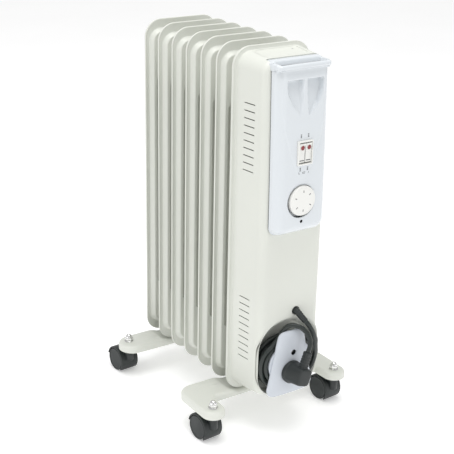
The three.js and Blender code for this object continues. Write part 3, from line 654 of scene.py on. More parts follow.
HEADERS = (123, 583)  # heights of the two headers that join the fins
COLLAR_BETWEEN = [(21.75, 24.5), (20.9, 27), (18, 27), (12, 27.4), (10.2, 28.6), (9.3, 30.5)]
COLLAR_REAR = [(11.5, 0), (11.5, 15), (10.8, 17), (9.3, 18.5)]
COLLAR_FRONT = [(-11.5, 0), (-11.5, 18), (-10.8, 19.4), (-9.3, 20.5)]


def fins():
    sheet = mesh_of("fin_sheet", *fin_mesh(), 60)
    for number in range(1, FINS + 1):
        y = (FINS - number) * PITCH
        obj = bpy.data.objects.new(f"fin_sheet_{number}", sheet)
        obj.location = (0, y / 1000, 0)
        look = None if sheet.materials else "enamel"
        link(obj, look, "heater", [f"fin_{number}"])
        back = COLLAR_REAR if number == 1 else COLLAR_BETWEEN
        front = COLLAR_FRONT if number == FINS else [(-out, r) for out, r in COLLAR_BETWEEN]
        parts = [revolve(part, (0, y, z), TO_BACK, 48) for z in HEADERS for part in (back, front)]
        piece(f"fin_collars_{number}", joined(parts), "enamel", angle=50)


fins()

# ------------------------------------------------------------------ front cover

COVER_TOP = 636.5
TAPER = 4.8  # how much the cover draws in from its flange to its front
EDGE = 13  # radius of the round front edges
SHEET = 1.3
COVER_FLANGE = (72, 63, 643, 30, 30)
DIAL_Z, SCREW_Z = 416, 382


def lean(y, z):
    """The front leans back above 370 mm, more and more towards the top."""
    up = np.clip((np.asarray(z, float) - 370) / (COVER_TOP - 370), 0, 1)
    return y * (1 - 0.08 * up ** 1.4)


def level(inset):
    """The cover's outline, drawn in by an inset."""
    corner = max(25 - inset, 3)
    return (65.8 - inset, 73 + inset, COVER_TOP - inset, corner, corner)


def cover_plate():
    """The grid lies on the flat front, inside the round front edges."""
    size = level(TAPER + EDGE)
    half, low, high, _, _ = size
    xs = lines((-half, -half + 9, 1.3), (-half + 9, half - 9, 8), (half - 9, half, 1.3))
    zs = lines(
        (low, low + 8, 1.2), (low + 8, 370, 20), (370, high - 8, 12), (high - 8, high, 1.2),
    )
    return Plate(size, xs, zs)


def cover_levels():
    """Outlines and depths from the flat front over its round edge and the side wall to the
    flange, and back inside."""
    levels = [(level(TAPER + EDGE), -73)]
    for degrees in (78, 66, 54, 42, 30, 20, 10, 0):
        angle = math.radians(degrees)
        inset = TAPER + EDGE * (1 - math.cos(angle))
        levels.append((level(inset), -60 - EDGE * math.sin(angle)))
    for share in (0.85, 0.6, 0.35, 0.15):
        levels.append((level(TAPER * share), -60 + 54 * (1 - share)))
    levels += [(level(0.1), -5.6), (level(-0.4), -4.4), (level(-1.6), -3.7)]
    for share, y in ((0.8, -3.6), (0.9, -3.75), (0.97, -3.6), (1.0, -2.9), (0.97, -2.2), (0.5, -2.1)):
        levels.append((toward(level(-1.6), COVER_FLANGE, share), y))
    levels += [(level(1.0), -2.1), (level(SHEET + 0.3), -3.2), (level(TAPER + SHEET), -60)]
    levels += [(level(TAPER + SHEET + 4), -69), (level(TAPER + EDGE), -71.7)]
    return levels


def front_cover():
    plate = cover_plate()
    front = plate.face(lambda x, z: lean(np.full_like(x, -73.0), z))
    walls = plate.sides(cover_levels(), lambda y, z: float(lean(y, z)))
    back = plate.face(lambda x, z: lean(np.full_like(x, -71.7), z))
    obj = obj_of("cover_shell", *joined([front, walls, back]), angle=50)
    cutters = [
        slot_cutter(64 * side, lowest + 11.7 * i)
        for side in (-1, 1) for lowest in (458, 140) for i in range(10)
    ]
    cutters += [
        brick((-14.6, -80, 475.4), (14.6, -60, 509.6)),  # behind the switches
        rod((0, -60, DIAL_Z), (0, -85, DIAL_Z), 6),
        rod((12, -60, 220), (12, -85, 220), 7.4),  # for the cord
        brick((-47.3, -95, 606.7), (47.3, -50.2, 645)),  # under the panel's finger trough
        pocket_cutter(),
        tray_cutter(),
    ]
    cut(obj, cutters)
    link(obj, "enamel", "heater", ["front_cover"])
    pocket()
    tray()


def slot_cutter(x, z):
    """A louvre opening with round ends in the cover's side wall."""
    outline = arc(-35 + 11.7, z, 0.8, -90, 90, 6) + arc(-35 - 11.7, z, 0.8, 90, 270, 6)
    return capped([[(side, y, up) for y, up in outline] for side in (x - 5, x + 5)])


POCKET_LEVELS = [
    # the outline, as for a Plate, and the depth
    (57.4, 77.2, 192, 41.4, 51.4, -48.0),
    (58.0, 76.6, 193.4, 42, 52, -48.8),
    (58.2, 76.4, 194.6, 42, 52, -51.5),
    (58.3, 76.3, 197.0, 42, 52, -58.0),
    (58.4, 76.2, 200.5, 42, 51, -64.0),
    (58.5, 76.1, 204.5, 42, 50, -69.0),
    (58.8, 75.9, 207.5, 42, 50, -71.6),
    (59.3, 75.4, 209.6, 42.4, 50.4, -72.7),
    (60.0, 74.8, 211.4, 43, 51, -73.08),
    (60.4, 74.5, 212.2, 43.3, 51.3, -73.02),
]


def pocket_ring(size, y, steps=14):
    half, low, high, low_r, high_r = size
    side = arc(half - low_r, low + low_r, low_r, -90, 0, steps)
    side += arc(half - high_r, high - high_r, high_r, 0, 90, steps)
    return [(x, y, z) for x, z in side] + [(-x, y, z) for x, z in reversed(side)]


def pocket_cutter():
    size = (59.6, 75.1, 210.2, 42.6, 50.6)
    return capped([pocket_ring(size, -46), pocket_ring(size, -80)])


def pocket():
    """The recess for the wound cord: a drawn bowl whose rim runs smoothly into the front."""
    rings = [pocket_ring(row[:5], row[5]) for row in POCKET_LEVELS]
    shape = joined([fan(rings[0], (0, -48, 134)), bridge(rings)])
    piece("cord_recess", shape, "enamel", angle=60)


def tray_ring(inset, z):
    """The tray's outline, drawn in, at a height over the cover's top, which falls to the front."""
    left, right, back, front = -41 + inset, 39.8 - inset, -6.5 - inset, -45.5 + inset
    corner, wide_corner = 5.0, 13
    points = arc(right - corner, back - corner, corner, 90, 0, 6)
    points += arc(right - corner, front + corner, corner, 0, -90, 6)
    points += arc(left + corner, front + corner, corner, -90, -180, 6)
    points += arc(left + wide_corner, back - wide_corner, wide_corner, 180, 90, 8)
    top = COVER_TOP + z
    return [(x, float(lean(y, COVER_TOP)), top + TAPER * (y + 6) / 54) for x, y in points]


def tray_cutter():
    return capped([tray_ring(0, -4), tray_ring(0, 4)])


def tray():
    """The shallow pressed tray in the top, with a rivet."""
    levels = [(3.6, -1.9), (1.8, -1.8), (0.7, -1.4), (0.1, -0.6), (-0.5, -0.05), (-1.6, 0.12), (-2.4, 0.04)]
    rings = [tray_ring(inset, z) for inset, z in levels]
    piece("top_tray", joined([fan(rings[0]), bridge(rings)]), "enamel", angle=60)
    rivet = rod((29, -14, COVER_TOP - 3.2), (29, -14, COVER_TOP - 2.4), 1.7, 20, 1.3)
    piece("tray_rivet", rivet, "zinc")


front_cover()

# ------------------------------------------------------------------ control panel

PANEL = (50, 361, 632, 14, 3)
PANEL_FACE = (49.4, 361.6, 632, 13.4, 3)
RECESS_X, RECESS_Z = -1.3, 414.9
SWITCH_X = 0.8
SWITCH_Z = 492.5


def panel_level(inset):
    half, low, high, low_r, high_r = PANEL
    return (half - inset, low + inset, high, max(low_r - inset * 0.55, 2), high_r)


def scoop(x, z):
    """Depth of the two scoops in the upper half, which meet at a point above the switches."""
    down = np.clip((605 - z) / 66, 0, 1)
    outer = np.interp(down, [0, 0.08, 0.3, 0.55, 0.8, 1.0], [34, 36, 34.5, 27, 13, 0.5])
    ridge = np.interp(down, [0, 0.4, 1.0], [2.2, 3.2, 7.0])
    left = np.minimum(outer - 2 + x, -ridge - x + 1)
    right = np.minimum(outer - x, x - ridge - 1)
    hard = smoothstep(np.minimum(right, (605 - z) * 0.9) / 3.4)
    soft = smoothstep(np.minimum(left / 5.5, (605 - z) * 0.25))
    return hard * 12.5 * (1 - down) ** 0.8 + soft * 11.0 * (1 - down) ** 1.1


def tongue(x, z):
    """The raised middle field, wide at the top and narrow below the switches."""
    half = np.interp(z, [446, 462, 480, 495, 529, 557, 585, 612], [5, 13, 21, 27, 38, 42.5, 44.5, 45.5])
    edge = smoothstep((half - np.abs(x)) / 3.5)
    fade = smoothstep((z - 440) / 40.0) * smoothstep((616 - z) / 10.0)
    return 1.7 * edge * fade


def panel_face(x, z):
    """The front: flat in the middle, round towards the sides and the bottom."""
    qx, qz = np.abs(x) - 31.0, 380.0 - z
    out = np.hypot(np.maximum(qx, 0), np.maximum(qz, 0)) + np.minimum(np.maximum(qx, qz), 0) - 2.0
    share = np.clip(out / 17.0, 0, 1)
    y = -75.0 - 17.0 * np.sqrt(1 - share * share * 0.985) - tongue(x, z) * (1 - share ** 4) + scoop(x, z)
    return lean(y, z)


def control_panel():
    half, low, high, _, _ = PANEL_FACE
    edge = lines((0, 1.2, 0.3), (1.2, 4, 0.5), (4, 16, 1.0))
    xs = [-half + v for v in edge] + [half - v for v in edge] + lines((-half + 17, half - 17, 1.2))
    zs = [low + v for v in edge] + lines((low + 17, 432, 5), (432, 624, 1.4))
    plate = Plate(PANEL_FACE, sorted(xs), sorted(zs))

    def ring(outline, y):
        return [(x, float(lean(y, z)), z) for x, z in plate.ring(*outline)]

    border = plate.ring(*PANEL_FACE)
    rings = [[(x, float(panel_face(np.array([x]), np.array([z]))[0]), z) for x, z in border]]
    sides = ((0.3, -76.2), (0.08, -75.6), (0, -75.0), (0.25, -74.6), (1.4, -74.4), (1.4, -73.4))
    rings += [ring(panel_level(inset), y) for inset, y in sides]
    rings.append(ring(PANEL_FACE, -73.2))
    back = plate.face(lambda x, z: lean(np.full_like(x, -73.2), z))
    shell = joined([plate.face(panel_face), bridge(rings), back])
    obj = obj_of("panel_shell", *shell, angle=40)
    cut(obj, [
        rod((RECESS_X, -84.2, RECESS_Z), (RECESS_X, -110, RECESS_Z), 26.6, 96),
        rod((0, -80, DIAL_Z), (0, -110, DIAL_Z), 5, 32),
        rod((0, -86, SCREW_Z), (0, -110, SCREW_Z), 2.6, 32),
        brick((SWITCH_X - 14.2, -120, 473.3), (SWITCH_X + 14.2, -76, 511.7)),
        brick((-60, -120, 620.5), (60, -40, 650)),  # makes room for the finger trough
    ])
    link(obj, "panel", "heater", ["control_panel"])
    # painted shadow: a thin near-black ring just inside the panel's edge stands for the shade in the gap
    # between panel and cover
    seam_shade = bridge([ring(panel_level(0.7), y) for y in (-74.6, -72.9)])
    piece("panel_seam", seam_shade, "dark")
    panel_top()
    lip_ring()


def panel_top():
    """The top of the panel: a plate that laps on to the cover, the finger trough and its lip."""
    def section(share):
        """Back to front over the top at one place across; share is 0 in the middle, 1 at the ends."""
        drop = 1.2 * share ** 3
        pull = 3.0 * share ** 4
        return [
            (-50.8, 621.0), (-50.6, 628.5), (-51.2, 630.6 - drop * 0.3), (-52.4, 631.6 - drop * 0.3),
            (-58, 632.2 - drop * 0.3), (-63.0, 631.9 - drop * 0.3), (-65.4, 631.0 - drop * 0.3),
            (-66.6, 629.4 - drop * 0.3), (-67.2, 626.0), (-68.2, 622.4), (-70.6, 620.0), (-74, 618.9),
            (-79, 618.9), (-81.4, 620.2), (-82.6, 622.6), (-83.2 + pull * 0.5, 625.6 - drop),
            (-84.2 + pull * 0.5, 627.6 - drop), (-86.0 + pull, 628.8 - drop), (-88.2 + pull, 628.7 - drop),
            (-90.0 + pull, 627.2 - drop), (-90.6 + pull, 625.0 - drop), (-90.2 + pull, 622.8 - drop),
            (-88.6 + pull, 621.2 - drop), (-86.6 + pull, 620.4), (-85.6, 619.0), (-85.2, 617.6),
        ]

    xs = lines((-40, 40, 2))
    strip = [[(x, y, z) for y, z in section(abs(x) / 47)] for x in xs]
    parts = [bridge(strip, closed=False)]
    # the ends of the trough and of the top plate, and the lip carried round the corners
    for side in (-1, 1):
        near = section(40 / 47)
        rings = []
        for share, out in ((0.0, 40), (0.35, 42.0), (0.7, 43.2), (1.0, 43.8)):
            ring = []
            for k, (y, z) in enumerate(near):
                if 8 <= k <= 15:
                    z = z + (629.2 - z) * smoothstep(share * 1.15)
                ring.append((side * out, y, z))
            rings.append(ring)
        for out in (46.5, 48.6, 49.6):
            fall = (out - 43.8) / 5.8
            ring = []
            for y, z in near:
                y2 = y if y > -70 else y + 5.5 * fall ** 2
                z2 = max(min(z, 629.2), 629.2 if -84 < y < -52 else z) - 1.6 * fall ** 2
                ring.append((side * out, y2, z2))
            rings.append(ring)
        rings.append([(side * 50.2, y + (5.5 if y < -70 else 0), min(z, 621.0) - 0.5) for y, z in near])
        parts.append(bridge(rings, closed=False))
    piece("panel_top", joined(parts), "panel", angle=70)


def lip_ring():
    """Small round lips at the edges of the dial recess and the screw hole, and near-black linings in their
    wells that paint the shade inside.
    """
    recess = (RECESS_X, float(lean(-92.0, RECESS_Z)), RECESS_Z)
    hole = (0, float(lean(-92.0, SCREW_Z)), SCREW_Z)
    parts = []
    for place, radius, size in ((recess, 26.6, 0.9), (hole, 2.7, 0.5)):
        profile = [(-2.5, radius - 0.02), (-size, radius - 0.02), (-size * 0.3, radius + size * 0.3)]
        profile += [(0.03, radius + size), (-0.1, radius + size + 0.2)]
        parts.append(revolve(profile, place, TO_FRONT, 96))
    piece("panel_edges", joined(parts), "panel", angle=60)
    # painted shade: near-black linings inside the dial recess and the screw hole
    parts = [
        revolve([(-8.5, 26.5), (-2.2, 26.5), (-8.2, 26.4), (-8.2, 6)], recess, TO_FRONT, 96),
        revolve([(-6.0, 2.55), (-0.7, 2.55), (-5.9, 2.5), (-5.9, 0)], hole, TO_FRONT, 32),
    ]
    piece("panel_wells", joined(parts), "dark", angle=60)


control_panel()

# ------------------------------------------------------------------ switches


def slab(outline, y_back, y_front, fillet=0.0, steps=4):
    """An upright slab from an outline in X and Z, with a rounded front edge."""
    levels = [(0, y_back)]
    if fillet:
        for k in range(steps + 1):
            angle = math.pi / 2 * k / steps
            levels.append((fillet * (1 - math.cos(angle)), y_front + fillet * (1 - math.sin(angle))))
    else:
        levels.append((0, y_front))
    centre = np.mean(np.array(outline), axis=0)
    rings = []
    for inset, y in levels:
        rings.append([(*inward(p, centre, outline, i, inset), y) for i, p in enumerate(outline)])
    return capped([[(x, y, z) for x, z, y in ring] for ring in rings])


def inward(p, centre, outline, i, inset):
    """A point of a closed outline moved inwards, square to its neighbours."""
    if not inset:
        return p
    before, after = outline[i - 1], outline[(i + 1) % len(outline)]
    tangent = np.array(after, float) - np.array(before, float)
    normal = np.array([-tangent[1], tangent[0]])
    normal /= max(np.linalg.norm(normal), 1e-9)
    if np.dot(normal, centre - np.array(p)) < 0:
        normal = -normal
    return tuple(np.array(p) + normal * inset)


def round_box(x0, x1, z0, z1, r, steps=5):
    points = arc(x1 - r, z1 - r, r, 90, 0, steps) + arc(x1 - r, z0 + r, r, 0, -90, steps)
    points += arc(x0 + r, z0 + r, r, -90, -180, steps) + arc(x0 + r, z1 - r, r, 180, 90, steps)
    return points


ROCKER_SIDES = ((-5.6, 0.5), (-5.45, 0.15), (-5.1, 0), (5.1, 0), (5.45, 0.15), (5.6, 0.5))
LENS_DOME = [(-1, 3.5), (1.2, 3.5), (1.7, 3.2), (2.0, 2.5), (2.15, 1.4), (2.2, 0)]
LENS_SEAT = [(0.2, 3.5), (1.3, 3.55), (1.55, 3.9), (1.3, 4.25), (0.0, 4.4)]


def rocker_shape(middle_x):
    """A rocker: its outline in Y and Z, slightly hollow between two lips, carried across."""
    profile = [(-83, -12.8), (-88, -14.6), (-91.2, -15.3), (-92.6, -14.9)]
    for t in np.linspace(0, 1, 15):
        hollow = 0.5 * (1 - (2 * t - 1) ** 2)
        swell = 2.6 * max(0, t - 0.5) ** 1.2 * 1.5
        profile.append((-93.0 + hollow - swell, -14.0 + 28.4 * t))
    profile += [(-95.4, 14.9), (-94.0, 15.2), (-88, 14.4), (-83, 12.8)]
    centre = np.mean(np.array(profile), axis=0)
    rings = []
    for across, inset in ROCKER_SIDES:
        ring = [inward(p, centre, profile, i, inset) for i, p in enumerate(profile)]
        rings.append([(middle_x + across, y, SWITCH_Z + z) for y, z in ring])
    return capped(rings)


def switches():
    low, high = SWITCH_Z - 19, SWITCH_Z + 19
    outer = round_box(SWITCH_X - 14, SWITCH_X + 14, low, high, 1.2)
    obj = obj_of("bezel", *slab(outer, -82, -94.6, 0.7))
    cut(obj, [brick((SWITCH_X - 12.2, -100, low + 2.1), (SWITCH_X + 12.2, -70, high - 2.1))])
    link(obj, "white", "heater", ["switch_bezel"])
    for side, sign in (("left", -1), ("right", 1)):
        x = SWITCH_X + 6 * sign
        body = f"rocker_{side}"
        cap = rocker_shape(x)
        piece(f"rocker_cap_{side}", cap, "white", [body], body, angle=40)
        lens = (x, -93.2, SWITCH_Z + 8.5)
        dome, seat = (revolve(part, lens, TO_FRONT, 32) for part in (LENS_DOME, LENS_SEAT))
        piece(f"lens_dome_{side}", dome, "red", [f"lens_{side}"], body, angle=50)
        piece(f"lens_seat_{side}", seat, "white", [], body, angle=60)
        dash = round_box(x - 4.2, x + 4.2, SWITCH_Z - 12.4, SWITCH_Z - 11.2, 0.5)
        dash = slab(dash, -92.4, -93.25, 0.1)
        piece(f"rocker_mark_{side}", dash, "ink", [], body)
    # painted shade: a thin near-black sheet in the gap between the two rockers
    gap_shade = brick((SWITCH_X - 0.3, -92.6, SWITCH_Z - 15), (SWITCH_X + 0.3, -84, SWITCH_Z + 15))
    piece("rocker_divider", gap_shade, "dark")
    prints()


def prints():
    """Small generic marks around the switches: bars above and below, and a bracket."""
    marks = []  # x, z, width, height
    for x, z in ((-6, 518.5), (7.6, 518.5), (-6.2, 466.5), (7.6, 466.5)):
        marks += [(x, z + 2.1 * k, 2.6, 1.3) for k in (-1, 0, 1)]
    marks += [
        (0.8, 461.5, 6.0, 0.8), (0.8, 459.6, 5.0, 0.8), (-7.4, 459.6, 2.6, 0.6),
        (9.2, 459.6, 2.6, 0.6), (-8.6, 461.2, 0.6, 3.4), (10.4, 461.2, 0.6, 3.4),
    ]
    parts = []
    for x, z, w, h in marks:
        base = float(panel_face(np.array([x]), np.array([z]))[0])
        outline = round_box(x - w / 2, x + w / 2, z - h / 2, z + h / 2, min(w, h) * 0.3, 3)
        parts.append(slab(outline, base + 0.3, base - 0.06))
    piece("panel_marks", joined(parts), "ink")


switches()

# ------------------------------------------------------------------ thermostat dial


DIAL_PROFILE = [
    (-11.2, 3.4), (-11.2, 22.6), (-10.8, 23.6), (-9.6, 24.3), (-2.6, 24.0), (-1.4, 23.6),
    (-0.7, 22.9), (-0.35, 22.2), (-0.3, 21.6), (-0.55, 21.0), (-0.5, 20.4), (-0.1, 19.8),
    (0, 19.0), (0, 12), (0, 0),
]


def dial():
    front = -95.2
    body = revolve(DIAL_PROFILE, (0, front, DIAL_Z), TO_FRONT, 128)
    piece("dial_knob", body, "white", ["dial"], "dial", angle=45)
    parts = []
    for turn in (90, 38, -30, -90, -142, 158):
        angle = math.radians(turn)
        along = np.array([math.cos(angle), math.sin(angle)])
        across = np.array([-along[1], along[0]])
        outline = []
        for a, b in ((13.6, -0.75), (17.4, -0.5), (17.4, 0.5), (13.6, 0.75)):
            p = along * a + across * b
            outline.append((p[0], DIAL_Z + p[1]))
        parts.append(slab(outline, front + 0.3, front - 0.07))
    piece("dial_marks", joined(parts), "ink", [], "dial")


dial()


def screw(name, x, z, seat, head, node):
    """A cross-recessed screw seen in its hole."""
    profile = [(-1.2, 0), (-1.2, head * 0.6), (0, head), (0.9, head)]
    profile += [(1.5, head * 0.86), (1.9, head * 0.5), (1.95, 0)]
    obj = obj_of(name, *revolve(profile, (x, seat, z), TO_FRONT, 40), angle=40)
    for wide, tall in ((head * 0.6, 0.35), (0.35, head * 0.6)):
        cut(obj, [brick((x - wide, seat - 3, z - tall), (x + wide, seat - 0.8, z + tall))])
    link(obj, "zinc", "heater", [node])


screw("panel_screw_head", 0, SCREW_Z, -85.4, 2.4, "panel_screw")

# ------------------------------------------------------------------ cord winder


def smooth_loop(points, count):
    """A closed smooth curve through given points, as evenly spaced points."""
    pts = np.array(points, float)
    n = len(pts)
    dense = []
    for i in range(n):
        p0, p1, p2, p3 = pts[i - 1], pts[i], pts[(i + 1) % n], pts[(i + 2) % n]
        for t in np.linspace(0, 1, 24, endpoint=False):
            dense.append(between(p0, p1, p2, p3, t))
    dense = np.array(dense)
    gaps = np.linalg.norm(np.roll(dense, -1, axis=0) - dense, axis=1)
    run = np.r_[0, np.cumsum(gaps)]
    wrapped = np.vstack([dense, dense[:1]])
    spots = np.linspace(0, run[-1], count, endpoint=False)
    xs, zs = (np.interp(spots, run, wrapped[:, axis]) for axis in (0, 1))
    return list(zip(xs.tolist(), zs.tolist()))


PLATE_HALF = [
    (0, 78.4), (16, 78.6), (30, 79.4), (39.5, 82.6), (44, 89), (44.6, 96), (42.2, 106),
    (38.3, 124), (34.3, 143), (30.5, 161), (27.2, 177), (25.0, 185), (21.0, 190), (14, 192),
    (0, 192.4),
]
PLATE_LEVELS = [  # how far inside the outline, and the depth: rounded rim, then slightly domed
    (1.2, -81.0), (0.3, -81.3), (0, -81.9), (0, -83.6), (0.35, -84.5), (1.1, -85.1),
    (3, -85.7), (6, -86.4), (11, -87.2), (18, -87.9), (26, -88.3),
]
DRUM = [
    (-0.2, 0), (-0.2, 39.4), (0.2, 40.4), (1.2, 41), (30, 41), (31.6, 41.4), (32.7, 42.0),
    (33, 43), (33, 0),
]
SCREW_RIM = [(-0.9, 4.95), (0.0, 5.0), (0.45, 5.35), (0.55, 5.9), (0.35, 6.5), (-0.15, 7.0)]
# profile of the near-black lining that paints the shade inside the winder screw's hole
SCREW_WELL_SHADE = [(-6.4, 4.9), (-0.9, 4.9), (-6.3, 4.85), (-6.3, 0)]
PLUG_X, PLUG_Z, PLUG_TURN = -4, 121, math.radians(18)
PIN_SPREAD = 9.5


def plug_place(x, z):
    """A place of the plug's own frame; the plug sits turned on the plate."""
    c, s = math.cos(PLUG_TURN), math.sin(PLUG_TURN)
    return PLUG_X + x * c + z * s, PLUG_Z - x * s + z * c


def winder_plate():
    outline = smooth_loop(PLATE_HALF + [(-x, z) for x, z in reversed(PLATE_HALF[1:-1])], 160)
    outline = [(x + WINDER_X - 2, z) for x, z in outline]
    centre = np.array([WINDER_X - 2, 132.0])
    rings = []
    for inset, y in PLATE_LEVELS:
        ring = []
        for i, p in enumerate(outline):
            if inset <= 3:
                q = np.array(inward(p, centre, outline, i, inset))
            else:
                out = np.array(p) - centre
                q = centre + out * (1 - inset / np.linalg.norm(out))
            ring.append((q[0], y, q[1]))
        rings.append(ring)
    cx, cz = centre
    rings.append([(cx + (x - cx) * 0.25, -88.5, cz + (z - cz) * 0.25) for x, _, z in rings[-1]])
    cap, back = fan(rings[-1], (cx, -88.5, cz)), fan(rings[0], (cx, -81.0, cz))
    obj = obj_of("winder_plate", *joined([bridge(rings), cap, back]), angle=45)
    cutters = [rod((0, -81.5, 154), (0, -100, 154), 5.0, 40)]
    for side in (-1, 1):
        x, z = plug_place(side * PIN_SPREAD, 0)
        cutters.append(rod((x, -80, z), (x, -100, z), 2.9, 24))
    cut(obj, cutters)
    link(obj, "winder", "heater", ["cord_winder"])


def winder():
    winder_plate()
    points, faces = revolve(DRUM, (WINDER_X, -48.3, 0), TO_FRONT, 96)
    drum = [(x, y, WINDER_Z + z * 0.855) for x, y, z in points], faces
    piece("winder_drum", drum, "winder", angle=50)
    hole = (0, -88.25, 154)
    # painted shade: the well is a near-black lining inside the screw's hole
    rim, well_shade = revolve(SCREW_RIM, hole, TO_FRONT, 48), revolve(SCREW_WELL_SHADE, hole, TO_FRONT, 48)
    piece("winder_screw_rim", rim, "winder", angle=70)
    piece("winder_screw_well", well_shade, "dark")
    screw("winder_screw_head", 0, 154, -81.9, 3.2, "winder_screw")


winder()

# ------------------------------------------------------------------ plug


PLUG_FACE = -88.2
PLUG_RISE = 2.6  # how much higher the block's middle is than the round foot's
PLUG_FOOT = [(0, 0), (0, 18.6), (0.4, 19.2), (1.1, 19.5), (5.4, 19.5), (6.2, 19.2), (6.7, 18.5), (6.8, 17.6)]
PIN = [(-1, 0), (-1, 2.4), (17.0, 2.4), (18.3, 2.0), (19, 0.9), (19, 0)]


def squared(angle, power):
    """A direction on a rounded square: the smaller the power, the squarer."""
    c, s = math.cos(angle), math.sin(angle)
    return math.copysign(abs(c) ** power, c), math.copysign(abs(s) ** power, s)


def plug_block():
    """The plug's body, from a round foot to a rounded block."""
    rings = []
    for share, out in ((0, 6.6), (0.05, 7.0), (0.15, 9), (0.4, 15), (0.7, 24), (0.9, 31), (1.0, 34.2)):
        ring = []
        for i in range(64):
            angle = 2 * math.pi * i / 64
            start = (18.4 * math.cos(angle), 18.4 * math.sin(angle))
            across, up = squared(angle, 0.42)
            x, z = toward(start, (across * 12.6, up * 14.2 + PLUG_RISE), share)
            ring.append((x, PLUG_FACE - out, z))
        rings.append(ring)
    last = rings[-1]
    for inset, out in ((0.3, 35.2), (1.0, 35.9), (2.2, 36.3), (6, 36.6)):
        wide, tall = 1 - inset / 14, 1 - inset / 15
        y = PLUG_FACE - out
        rings.append([(x * wide, y, PLUG_RISE + (z - PLUG_RISE) * tall) for x, _, z in last])
    return joined([bridge(rings), fan(rings[-1], (0, PLUG_FACE - 36.7, PLUG_RISE))])


def plug_neck():
    """The ribbed, tapered neck that the cord leaves by."""
    middle_y = PLUG_FACE - 25
    rings = []
    for k in range(29):
        z = 12 + (43 - 12) * k / 28
        rib = 0.55 if 15 < z < 40 and (k // 2) % 2 else 0
        half = 6.9 - 0.9 * max(0, (z - 14) / 29) - rib
        ring = []
        for i in range(32):
            across, out = squared(2 * math.pi * i / 32, 0.5)
            ring.append((across * half, middle_y + out * half, z))
        rings.append(ring)
    rings.append([(x * 0.86, middle_y + (y - middle_y) * 0.86, 43.8) for x, y, _ in rings[-1]])
    return joined([bridge(rings), fan(rings[-1], (0, middle_y, 43.8))])


def plug():
    foot_part = revolve(PLUG_FOOT, (0, PLUG_FACE, 0), TO_FRONT, 96)
    points, faces = joined([foot_part, plug_block(), plug_neck()])
    placed = []
    for x, y, z in points:
        across, up = plug_place(x, z)
        placed.append((across, y, up))
    shape = placed, faces
    obj = piece("plug_moulding", shape, "black", ["plug_body"], angle=50)
    for name, side in (("left", -1), ("right", 1)):
        x, z = plug_place(side * PIN_SPREAD, 0)
        pin = revolve(PIN, (x, PLUG_FACE, z), TO_BACK, 32)
        piece(f"plug_pin_round_{name}", pin, "brass", [f"plug_pin_{name}"])
    return obj


plug_obj = plug()

# ------------------------------------------------------------------ feet

NUT_X, FRONT_NUT_Y, REAR_NUT_Y = 125.3, -43.6, 237.3


def mirrored(half):
    return [(-x, y) for x, y in reversed(half[1:-1])] + half


def divided(points, longest=5.0):
    """A closed outline with its long straight stretches cut into short ones."""
    out = []
    for a, b in zip(points, points[1:] + points[:1]):
        count = max(1, math.ceil(math.hypot(b[0] - a[0], b[1] - a[1]) / longest))
        for k in range(count):
            out.append((a[0] + (b[0] - a[0]) * k / count, a[1] + (b[1] - a[1]) * k / count))
    return out


def shrunk(points, amount):
    """A closed outline moved inwards everywhere by the same amount."""
    pts = np.array(points, float)
    ahead = np.roll(pts, -1, axis=0) - pts
    ahead /= np.linalg.norm(ahead, axis=1)[:, None]
    before = np.roll(ahead, 1, axis=0)
    area = np.sum(pts[:, 0] * np.roll(pts[:, 1], -1) - np.roll(pts[:, 0], -1) * pts[:, 1])
    sign = 1.0 if area > 0 else -1.0
    normal = ahead + before
    normal = np.stack([-normal[:, 1], normal[:, 0]], axis=1) * sign
    normal /= np.linalg.norm(normal, axis=1)[:, None]
    square = np.stack([-ahead[:, 1], ahead[:, 0]], axis=1) * sign
    spread = amount / np.maximum(np.sum(normal * square, axis=1), 0.6)
    return pts + normal * spread[:, None]


def filled(outline, spacing):
    """A flat net of triangles inside an outline, with an even grid of points in it."""
    ring = [Vector((float(x), float(y))) for x, y in outline]
    pts = np.array(outline, float)
    low, high = pts.min(axis=0), pts.max(axis=0)
    after = np.roll(pts, -1, axis=0)
    inner = []
    for x in np.arange(low[0] + spacing / 2, high[0], spacing):
        for y in np.arange(low[1] + spacing / 2, high[1], spacing):
            crosses = (pts[:, 1] > y) != (after[:, 1] > y)
            rise = after[:, 1] - pts[:, 1] + 1e-12
            edge_x = pts[:, 0] + (y - pts[:, 1]) * (after[:, 0] - pts[:, 0]) / rise
            inside = np.sum(crosses & (edge_x > x)) % 2 == 1
            if inside and np.min(np.hypot(pts[:, 0] - x, pts[:, 1] - y)) > spacing * 0.6:
                inner.append(Vector((float(x), float(y))))
    count = len(ring)
    rim = [(i, (i + 1) % count) for i in range(count)]
    places, _, faces, *_ = delaunay_2d_cdt(ring + inner, rim, [], 1, 1e-5)
    return [(p.x, p.y) for p in places], [list(f) for f in faces]


def foot_skin(x, y, beads):
    """Height of a foot's top: low under the fins, with pressed beads along the arms."""
    across = abs(x)
    z = 62.4 + 5.6 * float(smoothstep((across - 49) / 24))
    for start, stop, bead_y, width in beads:
        along = min(across - start, stop - across)
        shape = float(smoothstep(along / 5)) * max(0.0, 1 - ((y - bead_y) / width) ** 2)
        z += 1.5 * shape ** 0.8
    return min(z, 69.4)


FOOT_SHEET = 1.8


